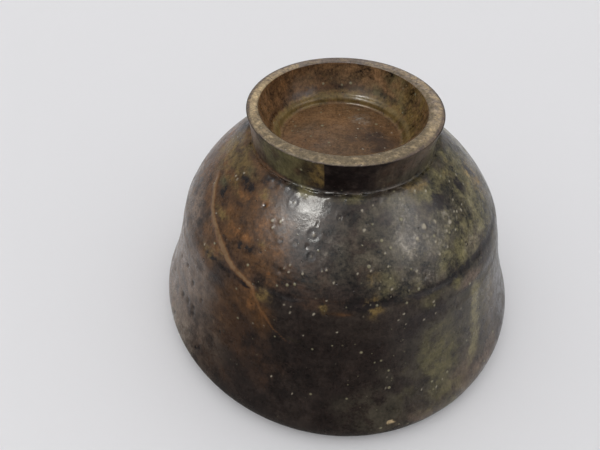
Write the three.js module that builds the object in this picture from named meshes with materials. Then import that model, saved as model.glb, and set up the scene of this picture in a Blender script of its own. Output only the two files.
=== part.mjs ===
// A wheel-thrown stoneware tea bowl with a black iron glaze, standing mouth down on its lip.
// Millimetres, +Z up. The origin is the centre of the circle that the lip stands on, and the foot
// ring's resting face is the top of the object. In use the bowl is turned over onto that face.
//
// The bowl is a thrown clay wall, a foot ring luted to its base, and four coats of glaze: outside,
// inside, round the foot ring, and in the well that the foot ring encloses. The lip's crest and the
// foot's resting face are bare clay, because glaze thins and wears away there.
import * as THREE from "three";

// Overall height, over the glaze
const BOWL_HEIGHT = 80;

// Lip
const LIP_RADIUS = 59.2; // where the outside wall turns under
const LIP_ROUND = 1.3; // height of the turn
const LIP_LAND = 1.2; // the flat that wear leaves on the crest
const LIP_THICKNESS = 3.9;

// Thrown wall, which flares from the trimming line to the belly
const BELLY_SWELL = 2.7; // how far the belly stands out past the lip
const BELLY_HEIGHT = 6; // of the widest circle
const WAIST_RADIUS = 51.2; // at the trimming line
const WAIST_HEIGHT = 39.7;
const WALL_HOLLOW = 1.4; // how far the wall bows in between the belly and the waist
const WALL_THICKNESS = 5.2;

// Trimming line: the step that the trimming tool leaves where the thrown wall ends
const TRIM_DEPTH = 0.7;
const TRIM_WIDTH = 4.2;

// Shoulder, trimmed round from the waist to the foot
const SHOULDER_RISE = 10.7; // length of the tangent that leaves the trimming line
const SHOULDER_LEAN = 0.34; // angle of that tangent from the vertical, radians
const SHOULDER_RUN = 8.9; // length of the tangent that arrives at the foot
const SHOULDER_SLOPE = 0.66; // angle of that tangent above the horizontal, radians

// Root of the foot: the narrow flat that the trimming tool cuts round the ring
const ROOT_FLAT = 1.6; // width of the flat
const ROOT_DIP = 0.3; // how far the flat dips towards the ring
const ROOT_FILLET = 0.9; // height of the round between flat and ring

// Foot ring
const FOOT_HEIGHT = 10.65;
const FOOT_RADIUS = 27.75; // at the resting face
const FOOT_FLARE = 1.15; // how much wider the ring is there than where it meets the shoulder
const FOOT_PINCH = 0.5; // how far the ring's outside is pinched in at half height
const FOOT_FACE_WIDTH = 4;
const FOOT_EDGE = 0.35; // chamfer of the resting face's two edges

// Well inside the foot ring, with a ledge round a sunk disc
const LEDGE_RADIUS = 19.85;
const LEDGE_DEPTH = 9.4; // below the resting face
const LEDGE_WIDTH = 1.5;
const DISC_DROP = 2.2; // from the ledge to the disc
const DISC_DOME = 0.5; // how far the disc's middle stands up
const WELL_BOW = 0.7; // how far the well's wall bows outwards

// Inside of the bowl
const FLOOR_THICKNESS = 7.2; // glaze to glaze, between the well's disc and the tea pool's edge
const POOL_RADIUS = 15; // the tea pool, a shallow dip in the middle of the floor
const POOL_DEPTH = 1.1;
const HIP_PULL = 14; // length of the tangent that leaves the wall
const FLOOR_PULL = 21; // length of the tangent that arrives at the pool

// Glaze
const GLAZE_THICKNESS = 0.8;
const GLAZE_EDGE = 0.15; // thickness where a coat ends
const GLAZE_TAPER = 4; // length over which a coat thins to its end
const SEAT_GAP = 0.06; // between a coat and the clay, and between coats

// Clay joint under the foot ring
const JOINT_GAP = 0.1;
const JOINT_SHOULDER = 0.4; // how far the joint's faces stop short of the coat in the well

// What the hands left: a three-cornered mouth, a slight oval, and foot and well set off centre
const MOUTH_LOBE = 0.86;
const MOUTH_LOBE_TURN = 2.09; // direction of the first corner times three, radians
const OVAL = 0.33;
const OVAL_TURN = -0.73; // direction of the long axis times two, radians
const FOOT_LEAN = new THREE.Vector2(-0.5, -0.34); // shift of the foot, at the resting face
const WELL_OFFSET = new THREE.Vector2(-0.65, 0.67); // shift of the well inside the ring

// Facets
const ROUND_STEPS = 42;

// Sizes that follow from the driving ones
const BELLY_RADIUS = LIP_RADIUS + BELLY_SWELL;
const BASE_HEIGHT = BOWL_HEIGHT - FOOT_HEIGHT; // where foot ring and shoulder meet
const FOOT_ROOT_RADIUS = FOOT_RADIUS - FOOT_FLARE;
const DISC_DEPTH = LEDGE_DEPTH + DISC_DROP;

const point = (radius, height) => new THREE.Vector2(radius, height);

// The points of one curve after another, with each shared end given once.
function follow(...stretches) {
  const points = stretches.flatMap(([curve, steps]) => curve.getPoints(steps));
  return points.filter((p, i) => i === 0 || p.distanceTo(points[i - 1]) > 1e-6);
}

// A profile moved sideways, to the left of its direction, by a distance that may vary along it.
function offset(profile, distanceAt) {
  return profile.map((p, i) => {
    const before = profile[Math.max(i - 1, 0)];
    const after = profile[Math.min(i + 1, profile.length - 1)];
    const along = after.clone().sub(before).normalize();
    const distance = distanceAt(i);
    return point(p.x - along.y * distance, p.y + along.x * distance);
  });
}

// Length along a profile from its start to each of its points.
function lengthsOf(profile) {
  const lengths = [0];
  for (let i = 1; i < profile.length; i += 1) {
    lengths.push(lengths[i - 1] + profile[i].distanceTo(profile[i - 1]));
  }
  return lengths;
}

// A coat's thickness at each point of the surface it makes, thinning towards the ends that are open.
function coatDepth(surface, openStart, openEnd) {
  const lengths = lengthsOf(surface);
  const total = lengths[lengths.length - 1];
  return (i) => {
    const fromStart = openStart ? lengths[i] : GLAZE_TAPER;
    const fromEnd = openEnd ? total - lengths[i] : GLAZE_TAPER;
    const share = Math.min(1, fromStart / GLAZE_TAPER, fromEnd / GLAZE_TAPER);
    const eased = share * share * (3 - 2 * share);
    return GLAZE_EDGE + (GLAZE_THICKNESS - GLAZE_EDGE) * eased;
  };
}

// Splits a glazed surface into the coat's back and the clay's face. The clay is to the left of the
// surface's direction. A surface that starts or ends on the axis keeps its end there.
function coat(surface, openStart, openEnd) {
  const depth = coatDepth(surface, openStart, openEnd);
  const onAxis = (profile) => {
    profile.forEach((p, i) => {
      if (surface[i].x < 1e-6) p.x = 0;
    });
    return profile;
  };
  return {
    front: surface,
    back: onAxis(offset(surface, (i) => depth(i) - SEAT_GAP)),
    clay: onAxis(offset(surface, depth)),
  };
}

// The thrown wall's outside, from the lip's turn up to the trimming line.
function wallSurface() {
  const flare = (BELLY_RADIUS - WAIST_RADIUS) / (WAIST_HEIGHT - BELLY_HEIGHT);
  const belly = new THREE.CubicBezierCurve(
    point(LIP_RADIUS + BELLY_SWELL * 0.45, BELLY_HEIGHT * 0.35),
    point(BELLY_RADIUS, BELLY_HEIGHT * 0.75),
    point(BELLY_RADIUS, BELLY_HEIGHT * 1.35),
    point(BELLY_RADIUS - BELLY_HEIGHT * flare * 0.9, BELLY_HEIGHT * 2),
  );
  const middle = point(
    (belly.v3.x + WAIST_RADIUS) / 2 - WALL_HOLLOW,
    (belly.v3.y + WAIST_HEIGHT) / 2,
  );
  const wall = new THREE.QuadraticBezierCurve(belly.v3, middle, point(WAIST_RADIUS, WAIST_HEIGHT));
  return follow([belly, 4], [wall, 3]);
}

// The outside, from the lip up to the edge at the foot's root.
function outsideSurface() {
  const thrown = wallSurface();
  const lip = new THREE.QuadraticBezierCurve(
    point(LIP_RADIUS - LIP_ROUND * 0.5, LIP_ROUND * 0.35),
    point(LIP_RADIUS, LIP_ROUND),
    thrown[0],
  );
  const trim = new THREE.QuadraticBezierCurve(
    thrown[thrown.length - 1],
    point(WAIST_RADIUS - TRIM_DEPTH, WAIST_HEIGHT + TRIM_WIDTH * 0.35),
    point(WAIST_RADIUS - TRIM_WIDTH * 0.3, WAIST_HEIGHT + TRIM_WIDTH),
  );
  const edge = point(FOOT_ROOT_RADIUS + ROOT_FLAT, BASE_HEIGHT);
  const shoulder = new THREE.CubicBezierCurve(
    trim.v2,
    point(
      trim.v2.x - SHOULDER_RISE * Math.sin(SHOULDER_LEAN),
      trim.v2.y + SHOULDER_RISE * Math.cos(SHOULDER_LEAN),
    ),
    point(
      edge.x + SHOULDER_RUN * Math.cos(SHOULDER_SLOPE),
      edge.y - SHOULDER_RUN * Math.sin(SHOULDER_SLOPE),
    ),
    edge,
  );
  return [...follow([lip, 2]), ...thrown.slice(1), ...follow([trim, 3], [shoulder, 7]).slice(1)];
}

// The root of the foot, from the shoulder's edge to the ring, in two halves.
function rootHalves() {
  const root = new THREE.QuadraticBezierCurve(
    point(FOOT_ROOT_RADIUS + ROOT_FLAT, BASE_HEIGHT),
    point(FOOT_ROOT_RADIUS, BASE_HEIGHT - ROOT_DIP),
    point(FOOT_ROOT_RADIUS, BASE_HEIGHT + ROOT_FILLET),
  );
  const points = root.getSpacedPoints(4);
  return [points.slice(0, 3), points.slice(3)];
}

// The wall's inside, from the lip up to the waist: its outside moved in by the wall's thickness.
function wallInside() {
  const outer = wallSurface();
  return offset(outer, (i) => {
    const share = (outer[i].y - outer[0].y) / (WAIST_HEIGHT - outer[0].y);
    return THREE.MathUtils.lerp(LIP_THICKNESS, WALL_THICKNESS, share);
  });
}

// The whole inside, from the middle of the floor down to the lip.
function insideSurface() {
  const floor = BOWL_HEIGHT - DISC_DEPTH - FLOOR_THICKNESS;
  const pool = new THREE.CubicBezierCurve(
    point(0, floor + POOL_DEPTH),
    point(POOL_RADIUS * 0.5, floor + POOL_DEPTH),
    point(POOL_RADIUS * 0.7, floor),
    point(POOL_RADIUS, floor),
  );
  const thrown = wallInside().reverse();
  const [wallTop, below] = thrown;
  const rising = wallTop.clone().sub(below).normalize();
  const hip = new THREE.CubicBezierCurve(
    pool.v3,
    point(POOL_RADIUS + FLOOR_PULL, floor),
    wallTop.clone().addScaledVector(rising, HIP_PULL),
    wallTop,
  );
  const lipInside = LIP_RADIUS - LIP_THICKNESS;
  const lip = new THREE.QuadraticBezierCurve(
    thrown[thrown.length - 1],
    point(lipInside, LIP_ROUND),
    point(lipInside + LIP_ROUND * 0.5, LIP_ROUND * 0.35),
  );
  return [...follow([pool, 3], [hip, 5]), ...thrown.slice(1), ...follow([lip, 2]).slice(1)];
}

// Outside of the foot ring, from its root up to the resting face's outer chamfer.
function footSurface() {
  const top = BOWL_HEIGHT - FOOT_EDGE;
  const side = new THREE.QuadraticBezierCurve(
    point(FOOT_ROOT_RADIUS, BASE_HEIGHT + ROOT_FILLET),
    point((FOOT_ROOT_RADIUS + FOOT_RADIUS) / 2 - FOOT_PINCH, BASE_HEIGHT + FOOT_HEIGHT / 2),
    point(FOOT_RADIUS, top),
  );
  return follow([side, 4]);
}

// Well inside the foot ring, from the resting face's inner chamfer to the disc's middle.
function wellSurface() {
  const top = BOWL_HEIGHT - FOOT_EDGE;
  const mouth = point(FOOT_RADIUS - FOOT_FACE_WIDTH, top);
  const ledgeHeight = BOWL_HEIGHT - LEDGE_DEPTH;
  const discHeight = BOWL_HEIGHT - DISC_DEPTH;
  const side = new THREE.QuadraticBezierCurve(
    mouth,
    point((mouth.x + LEDGE_RADIUS) / 2 + WELL_BOW, (mouth.y + ledgeHeight) / 2 - WELL_BOW),
    point(LEDGE_RADIUS + LEDGE_WIDTH * 0.15, ledgeHeight + DISC_DROP * 0.25),
  );
  const ledge = new THREE.CubicBezierCurve(
    side.v2,
    point(LEDGE_RADIUS - LEDGE_WIDTH * 0.05, ledgeHeight - DISC_DROP * 0.05),
    point(LEDGE_RADIUS - LEDGE_WIDTH * 0.6, ledgeHeight + DISC_DROP * 0.05),
    point(LEDGE_RADIUS - LEDGE_WIDTH * 0.85, (ledgeHeight + discHeight) / 2),
  );
  const foot = new THREE.QuadraticBezierCurve(
    ledge.v3,
    point(LEDGE_RADIUS - LEDGE_WIDTH, discHeight),
    point(LEDGE_RADIUS - LEDGE_WIDTH * 1.6, discHeight),
  );
  const disc = new THREE.QuadraticBezierCurve(
    foot.v2,
    point(foot.v2.x * 0.45, discHeight + DISC_DOME),
    point(0, discHeight + DISC_DOME),
  );
  return follow([side, 3], [ledge, 4], [foot, 2], [disc, 2]);
}

// How far the hands pushed the wall out of round, in the direction of an angle, at a height.
function outOfRound(angle, height) {
  const towardsLip = 1 - THREE.MathUtils.clamp(height / BOWL_HEIGHT, 0, 1);
  const lobe = MOUTH_LOBE * towardsLip ** 2 * Math.cos(3 * angle - MOUTH_LOBE_TURN);
  return lobe + OVAL * Math.cos(2 * angle - OVAL_TURN);
}

// Where a point of the true round form lies on the thrown bowl.
function asThrown(x, y, z) {
  const radius = Math.hypot(x, y);
  const nearAxis = Math.min(1, radius / LEDGE_RADIUS);
  const push = nearAxis * outOfRound(Math.atan2(y, x), z);
  const scale = radius > 1e-6 ? (radius + push) / radius : 1;
  const discHeight = BOWL_HEIGHT - DISC_DEPTH;
  const aboveFloor = THREE.MathUtils.smoothstep(
    z,
    discHeight - FLOOR_THICKNESS,
    discHeight - GLAZE_THICKNESS,
  );
  const insideRing = THREE.MathUtils.clamp((FOOT_RADIUS - radius) / FOOT_FACE_WIDTH, 0, 1);
  const shift = FOOT_LEAN.clone().multiplyScalar(z / BOWL_HEIGHT);
  shift.addScaledVector(WELL_OFFSET, aboveFloor * insideRing);
  return [x * scale + shift.x, y * scale + shift.y, z];
}

// A closed profile turned round Z, then pushed out of round as thrown clay is.
function turned(name, profile, material) {
  const geometry = new THREE.LatheGeometry(profile, ROUND_STEPS);
  geometry.rotateX(Math.PI / 2);
  const position = geometry.getAttribute("position");
  for (let i = 0; i < position.count; i += 1) {
    const thrown = asThrown(position.getX(i), position.getY(i), position.getZ(i));
    position.setXYZ(i, ...thrown);
  }
  const mesh = new THREE.Mesh(geometry, material);
  mesh.name = name;
  return mesh;
}

// A coat as a closed ring or cap: its front one way and its back the other.
const coatProfile = (layer) => [...layer.front, ...[...layer.back].reverse(), layer.front[0]];

const clay = new THREE.MeshStandardMaterial({ color: 0x9a7f5e, roughness: 0.85, metalness: 0 });
const blackGlaze = new THREE.MeshStandardMaterial({ color: 0x2b2620, roughness: 0.25, metalness: 0 });
const brownGlaze = new THREE.MeshStandardMaterial({ color: 0x5a4230, roughness: 0.3, metalness: 0 });

// Parts a coat at one of its points. The second half starts a seat gap further on.
function parted(layer, at) {
  const below = {};
  const above = {};
  for (const face of ["front", "back", "clay"]) {
    const [start, next] = layer[face].slice(at, at + 2);
    const moved = start.clone().lerp(next, SEAT_GAP / start.distanceTo(next));
    below[face] = layer[face].slice(0, at + 1);
    above[face] = [moved, ...layer[face].slice(at + 1)];
  }
  return [below, above];
}

// One coat runs from the lip up to the resting face. It is parted in the middle of the foot's root.
const [lowerRoot, upperRoot] = rootHalves();
const belowParting = [...outsideSurface(), ...lowerRoot.slice(1)];
const aboveParting = [...upperRoot, ...footSurface().slice(1)];
const outer = coat([...belowParting, ...aboveParting], true, true);
const [outside, foot] = parted(outer, belowParting.length - 1);
const inside = coat(insideSurface(), false, true);
const well = coat(wellSurface(), true, false);

// Where the clay of the foot ring ends and the clay of the wall's base begins
const seatHeight = BOWL_HEIGHT - LEDGE_DEPTH - GLAZE_THICKNESS;
const jointHeight = seatHeight + JOINT_GAP;
const ringClay = foot.clay.filter((p) => p.y > jointHeight + SEAT_GAP);
const jointOuter = pointAt(outer.clay, jointHeight);

// The point where a profile first rises past a height.
function pointAt(profile, height) {
  const next = profile.findIndex((p) => p.y > height);
  const start = profile[next - 1];
  const share = (height - start.y) / (profile[next].y - start.y);
  return start.clone().lerp(profile[next], share);
}

// The clay wall: up the outside, across the seat and the disc's clay to the axis; down the inside.
function clayWall() {
  const discClay = well.clay.filter((p) => p.y < seatHeight);
  const lipOuter = point(LIP_RADIUS - LIP_ROUND, 0);
  const lipInner = point(lipOuter.x - LIP_LAND, 0);
  const seat = [
    pointAt(outer.clay, seatHeight),
    point(discClay[0].x + JOINT_SHOULDER, seatHeight),
  ];
  const under = outer.clay.filter((p) => p.y < seatHeight - SEAT_GAP);
  return [...inside.clay, lipInner, lipOuter, ...under, ...seat, ...discClay];
}

// The foot ring's clay: its outside, the bare resting face, the well's wall, and the joint beneath.
function footRing() {
  const wellClay = well.clay.filter((p) => p.y > jointHeight + 2 * JOINT_GAP);
  const bareEdge = GLAZE_EDGE + FOOT_EDGE;
  const faceOuter = point(FOOT_RADIUS - bareEdge, BOWL_HEIGHT);
  const faceInner = point(FOOT_RADIUS - FOOT_FACE_WIDTH + bareEdge, BOWL_HEIGHT);
  const jointInner = point(wellClay[wellClay.length - 1].x, jointHeight);
  return [jointOuter, ...ringClay, faceOuter, faceInner, ...wellClay, jointInner, jointOuter];
}

const bowl = new THREE.Group();
bowl.add(
  turned("clay_wall", clayWall(), clay),
  turned("foot_ring", footRing(), clay),
  turned("outside_glaze", coatProfile(outside), blackGlaze),
  turned("inside_glaze", coatProfile(inside), blackGlaze),
  turned("foot_ring_glaze", coatProfile(foot), blackGlaze),
  turned("foot_well_glaze", coatProfile(well), brownGlaze),
);

export default bowl;
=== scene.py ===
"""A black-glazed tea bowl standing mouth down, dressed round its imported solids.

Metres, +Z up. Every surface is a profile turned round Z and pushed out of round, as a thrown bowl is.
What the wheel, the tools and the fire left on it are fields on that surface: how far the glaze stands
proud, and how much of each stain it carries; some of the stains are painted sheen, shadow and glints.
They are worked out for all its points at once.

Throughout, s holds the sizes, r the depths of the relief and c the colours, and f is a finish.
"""
import math

import bpy
import numpy as np
from mathutils import Matrix, Vector


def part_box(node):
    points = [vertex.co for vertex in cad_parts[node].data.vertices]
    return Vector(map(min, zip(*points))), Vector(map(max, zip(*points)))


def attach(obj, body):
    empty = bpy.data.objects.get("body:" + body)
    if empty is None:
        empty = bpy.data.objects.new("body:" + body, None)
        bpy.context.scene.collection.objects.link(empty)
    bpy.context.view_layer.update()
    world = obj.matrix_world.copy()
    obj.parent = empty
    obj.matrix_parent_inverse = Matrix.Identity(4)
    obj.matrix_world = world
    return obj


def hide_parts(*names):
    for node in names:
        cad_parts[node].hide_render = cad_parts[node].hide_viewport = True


bl_info = {
    "name": "Tea Bowl",
    "version": (1, 0, 0),
    "blender": (4, 5, 0),
    "location": "3D View > Sidebar > Tea Bowl",
    "description": "Builds a glazed tea bowl with its foot ring, coats of glaze and studio",
    "category": "Add Mesh",
}

MM = 0.001

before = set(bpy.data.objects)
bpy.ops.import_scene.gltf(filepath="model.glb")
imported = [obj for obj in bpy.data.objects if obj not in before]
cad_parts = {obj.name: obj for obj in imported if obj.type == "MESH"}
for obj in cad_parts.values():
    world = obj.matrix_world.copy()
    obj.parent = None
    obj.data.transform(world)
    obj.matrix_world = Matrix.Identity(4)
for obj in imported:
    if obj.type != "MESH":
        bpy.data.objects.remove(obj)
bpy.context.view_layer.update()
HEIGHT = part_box("foot_ring")[1].z


# Fields on a surface

TILT = np.array(Matrix.Rotation(0.9, 3, "X") @ Matrix.Rotation(0.7, 3, "Z"))


def lattice(cells, seed):
    """A number from 0 to 1 for each whole-numbered cell: its three places mixed by large primes."""
    mixed = cells[..., 0] * 374761393 + cells[..., 1] * 668265263 + cells[..., 2] * 2147483647
    mixed = (mixed + seed * 1274126177) & 0xFFFFFFFF
    mixed = ((mixed ^ (mixed >> 13)) * 1274126177) & 0xFFFFFFFF
    return (mixed ^ (mixed >> 16)) / 0xFFFFFFFF


def grain(points, size, seed):
    """Smooth noise from -1 to 1: random values at the corners of cubes, blended between them."""
    scaled = points / size
    low = np.floor(scaled).astype(np.int64)
    share = scaled - low
    share = share * share * (3 - 2 * share)
    total = np.zeros(points.shape[:-1])
    for corner in np.ndindex(2, 2, 2):
        weight = np.prod(np.where(np.array(corner) == 1, share, 1 - share), axis=-1)
        total += weight * lattice(low + np.array(corner), seed)
    return 2 * total - 1


def clouds(points, size, seed, octaves=3):
    """Noise with detail: each octave is tilted, half the size of the one before and half as strong."""
    total = np.zeros(points.shape[:-1])
    for octave in range(octaves):
        total += grain(points, size / 2**octave, seed + octave) / 2**octave
        points = points @ TILT
    return total / (2 - 2 / 2**octaves)


def soft_step(value, low, high):
    """0 below low, 1 above high, and a smooth S between."""
    share = np.clip((value - low) / (high - low), 0, 1)
    return share * share * (3 - 2 * share)


def bell(distance):
    """1 at no distance, falling off as a Gaussian of width one."""
    return np.exp(-(distance**2))


def turn_from(angle, centre):
    """How far an angle lies from another the short way round, in degrees."""
    return (angle - centre + 180) % 360 - 180


def towards(angle, centre, wide):
    """1 in one direction, falling off to both sides as a bell of a half width in degrees."""
    return bell(turn_from(angle, centre) / wide)


def sides(angle, *rows):
    """Several such bells added up, each given as its direction, its half width and its strength."""
    return sum(strength * towards(angle, centre, wide) for centre, wide, strength in rows)


def patches(angle, height, washes, frayed):
    """The strongest of several soft ellipses at each place. Each is given by its direction and its
    height, its half width in degrees and its half height, all heights in mm, and its strength. Two
    noises move its outline by shares of its own size."""
    total = np.zeros(angle.shape)
    for centre, level, wide, tall, strength in washes:
        far = np.hypot(turn_from(angle, centre) / wide + frayed[0], (height - level) / tall + frayed[1])
        total = np.maximum(total, strength * bell(far))
    return total


def spots(points, centres, radii, shape):
    """The sum over many spots of a shape, which is a function of the distance from a spot's centre
    counted in its radius."""
    total = np.zeros(points.shape[:-1])
    for centre, radius in zip(centres, radii):
        total += shape(np.linalg.norm(points - centre, axis=-1) / radius)
    return total


def crater(far):
    """A burst bubble: a raised ring at distance one round a dip, with a bead left in its middle."""
    return 0.7 * bell((far - 1) / 0.3) - bell(far / 0.75) + 1.5 * bell(far / 0.3)


def smooth_path(path, steps=5):
    """A path through given points, each stretch a cubic whose tangents are half the way between
    the neighbours of its two ends."""
    knots = np.concatenate([path[:1] * 2 - path[1:2], path, path[-1:] * 2 - path[-2:-1]])
    before, start, end, after = (knots[i:len(knots) - 3 + i, None] for i in range(4))
    t = np.linspace(0, 1, steps, endpoint=False)[None, :, None]
    bend = (2 * before - 5 * start + 4 * end - after) * t**2 + (3 * start - before - 3 * end + after) * t**3
    made = start + (end - before) * t / 2 + bend / 2
    return np.concatenate([made.reshape(-1, path.shape[1]), path[-1:]])


def off_path(points, path):
    """Distance from each point to a path of straight stretches, and the share of the path's length
    at the nearest place. Each stretch's nearest place comes from a projection onto it."""
    steps = np.diff(path, axis=0)
    reach = np.linalg.norm(steps, axis=1)
    before = np.concatenate([[0], np.cumsum(reach)[:-1]])
    best = np.full(points.shape[:-1], np.inf)
    share = np.zeros(points.shape[:-1])
    for start, step, size, done in zip(path[:-1], steps, reach, before):
        along = np.clip((points - start) @ step / size**2, 0, 1)
        apart = np.linalg.norm(points - start - along[..., None] * step, axis=-1)
        nearer = apart < best
        best = np.where(nearer, apart, best)
        share = np.where(nearer, (done + along * size) / reach.sum(), share)
    return best, share


# Profiles, in metres from the axis and above the lip

def bezier(*controls, steps=24):
    """Points on one curve: its control points, weighted by Bernstein's polynomials."""
    t = np.linspace(0, 1, steps + 1)[:, None]
    n = len(controls) - 1
    return sum(math.comb(n, k) * t**k * (1 - t) ** (n - k) * np.array(p) for k, p in enumerate(controls))


def follow(*curves):
    """Curves end to end as one profile, with each shared point given once."""
    return np.concatenate([curves[0], *[c[1:] for c in curves[1:]]])


def lengths_of(profile):
    """Length along a profile from its start to each of its points."""
    return np.concatenate([[0], np.cumsum(np.linalg.norm(np.diff(profile, axis=0), axis=1))])


def at_lengths(profile, lengths):
    """Points of a profile at given lengths along it, by straight lines between its own points."""
    own = lengths_of(profile)
    return np.stack([np.interp(lengths, own, profile[:, axis]) for axis in (0, 1)], 1)


def even_lengths(start, end, spacing):
    """Lengths from start to end at an even spacing."""
    return np.linspace(start, end, max(3, round((end - start) / spacing) + 1))


def spaced(profile, spacing):
    """The same profile with its points at an even spacing along it."""
    return at_lengths(profile, even_lengths(0, lengths_of(profile)[-1], spacing))


def softened(profile, width, spacing=0.1 * MM):
    """A profile with its corners rounded as glaze rounds them: each point becomes the mean of its
    neighbours under a bell of a width, with the profile mirrored through its two ends."""
    fine = spaced(profile, spacing)
    reach = math.ceil(3 * width / spacing)
    weights = bell(np.arange(-reach, reach + 1) * spacing / width)
    weights /= weights.sum()
    before = 2 * fine[0] - fine[reach:0:-1]
    after = 2 * fine[-1] - fine[-2:-reach - 2:-1]
    padded = np.concatenate([before, fine, after])
    return np.stack([np.convolve(padded[:, axis], weights, "valid") for axis in (0, 1)], 1)


def left_of(profile):
    """Unit vectors to the left of a profile's direction, which is the side of the clay."""
    along = np.gradient(profile, axis=0)
    along /= np.linalg.norm(along, axis=1)[:, None]
    return np.stack([-along[:, 1], along[:, 0]], 1)


def inwards(profile, distance):
    """A profile moved to its left by a distance, with what lies on the axis kept there."""
    moved = profile + left_of(profile) * np.reshape(distance, (-1, 1))
    moved[profile[:, 0] < 1e-6, 0] = 0
    return moved


def coat_depth(profile, s, open_start, open_end):
    """A coat's thickness along its profile, easing to a thin edge at the ends that are open."""
    lengths = lengths_of(profile)
    full = np.full(len(profile), s.glaze_taper)
    from_start = lengths if open_start else full
    from_end = lengths[-1] - lengths if open_end else full
    share = soft_step(np.minimum(from_start, from_end), 0, s.glaze_taper)
    return s.glaze_edge + (s.glaze_thickness - s.glaze_edge) * share


def wall_curve(s):
    """The thrown wall's outside, from the lip's turn over the belly to the trimming line."""
    belly_radius = s.lip_radius + s.belly_swell
    flare = (belly_radius - s.waist_radius) / (s.waist_height - s.belly_height)
    belly_end = (belly_radius - s.belly_height * flare * 0.9, s.belly_height * 2)
    belly = bezier(
        (s.lip_radius + s.belly_swell * 0.45, s.belly_height * 0.35),
        (belly_radius, s.belly_height * 0.75),
        (belly_radius, s.belly_height * 1.35),
        belly_end,
    )
    waist = (s.waist_radius, s.waist_height)
    middle = ((belly_end[0] + waist[0]) / 2 - s.wall_hollow, (belly_end[1] + waist[1]) / 2)
    return follow(belly, bezier(belly_end, middle, waist))


def outer_curve(s):
    """The whole outside: lip, wall, trimming line, shoulder, the foot's root and its outside up to
    the resting face. Gives the profile and the length at which its coat is parted, in the root."""
    thrown = wall_curve(s)
    lip = bezier(
        (s.lip_radius - s.lip_round * 0.5, s.lip_round * 0.35),
        (s.lip_radius, s.lip_round),
        thrown[0],
    )
    trim_end = (s.waist_radius - s.trim_width * 0.3, s.waist_height + s.trim_width)
    trim = bezier(
        thrown[-1],
        (s.waist_radius - s.trim_depth, s.waist_height + s.trim_width * 0.35),
        trim_end,
    )
    base = HEIGHT - s.foot_height
    root_radius = s.foot_radius - s.foot_flare
    edge = (root_radius + s.root_flat, base)
    leaving = (math.sin(s.shoulder_lean), math.cos(s.shoulder_lean))
    arriving = (math.cos(s.shoulder_slope), math.sin(s.shoulder_slope))
    shoulder = bezier(
        trim_end,
        (trim_end[0] - s.shoulder_rise * leaving[0], trim_end[1] + s.shoulder_rise * leaving[1]),
        (edge[0] + s.shoulder_run * arriving[0], edge[1] - s.shoulder_run * arriving[1]),
        edge,
        steps=48,
    )
    root = bezier(edge, (root_radius, base - s.root_dip), (root_radius, base + s.root_fillet))
    foot = bezier(
        root[-1],
        ((root_radius + s.foot_radius) / 2 - s.foot_pinch, base + s.foot_height / 2),
        (s.foot_radius, HEIGHT - s.foot_edge),
    )
    below = follow(lip, thrown, trim, shoulder)
    parting = lengths_of(below)[-1] + lengths_of(root)[-1] / 2
    return follow(below, root, foot), parting


def inside_curve(s):
    """The whole inside, from the middle of the floor down to the lip."""
    floor = HEIGHT - s.ledge_depth - s.disc_drop - s.floor_thickness
    pool = bezier(
        (0, floor + s.pool_depth),
        (s.pool_radius * 0.5, floor + s.pool_depth),
        (s.pool_radius * 0.7, floor),
        (s.pool_radius, floor),
    )
    outer = wall_curve(s)
    share = (outer[:, 1] - outer[0, 1]) / (s.waist_height - outer[0, 1])
    thrown = inwards(outer, s.lip_thickness + (s.wall_thickness - s.lip_thickness) * share)[::-1]
    rising = (thrown[0] - thrown[1]) / np.linalg.norm(thrown[0] - thrown[1])
    hip = bezier(
        pool[-1],
        (s.pool_radius + s.floor_pull, floor),
        thrown[0] + rising * s.hip_pull,
        thrown[0],
        steps=40,
    )
    lip_inside = s.lip_radius - s.lip_thickness
    lip = bezier(
        thrown[-1],
        (lip_inside, s.lip_round),
        (lip_inside + s.lip_round * 0.5, s.lip_round * 0.35),
    )
    return follow(pool, hip, thrown, lip)


def well_curve(s):
    """The well inside the foot ring: down its wall, over the ledge and across the sunk disc."""
    mouth = (s.foot_radius - s.foot_face_width, HEIGHT - s.foot_edge)
    ledge = HEIGHT - s.ledge_depth
    disc = ledge - s.disc_drop
    side_end = (s.ledge_radius + s.ledge_width * 0.15, ledge + s.disc_drop * 0.25)
    ledge_end = (s.ledge_radius - s.ledge_width * 0.85, (ledge + disc) / 2)
    foot_end = (s.ledge_radius - s.ledge_width * 1.6, disc)
    side = bezier(
        mouth,
        ((mouth[0] + s.ledge_radius) / 2 + s.well_bow, (mouth[1] + ledge) / 2 - s.well_bow),
        side_end,
    )
    crown = bezier(
        side_end,
        (s.ledge_radius - s.ledge_width * 0.05, ledge - s.disc_drop * 0.05),
        (s.ledge_radius - s.ledge_width * 0.6, ledge + s.disc_drop * 0.05),
        ledge_end,
    )
    foot = bezier(ledge_end, (s.ledge_radius - s.ledge_width, disc), foot_end)
    dish = bezier(foot_end, (foot_end[0] * 0.45, disc + s.disc_dome), (0, disc + s.disc_dome))
    return follow(side, crown, foot, dish)


# Turned surfaces

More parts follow.
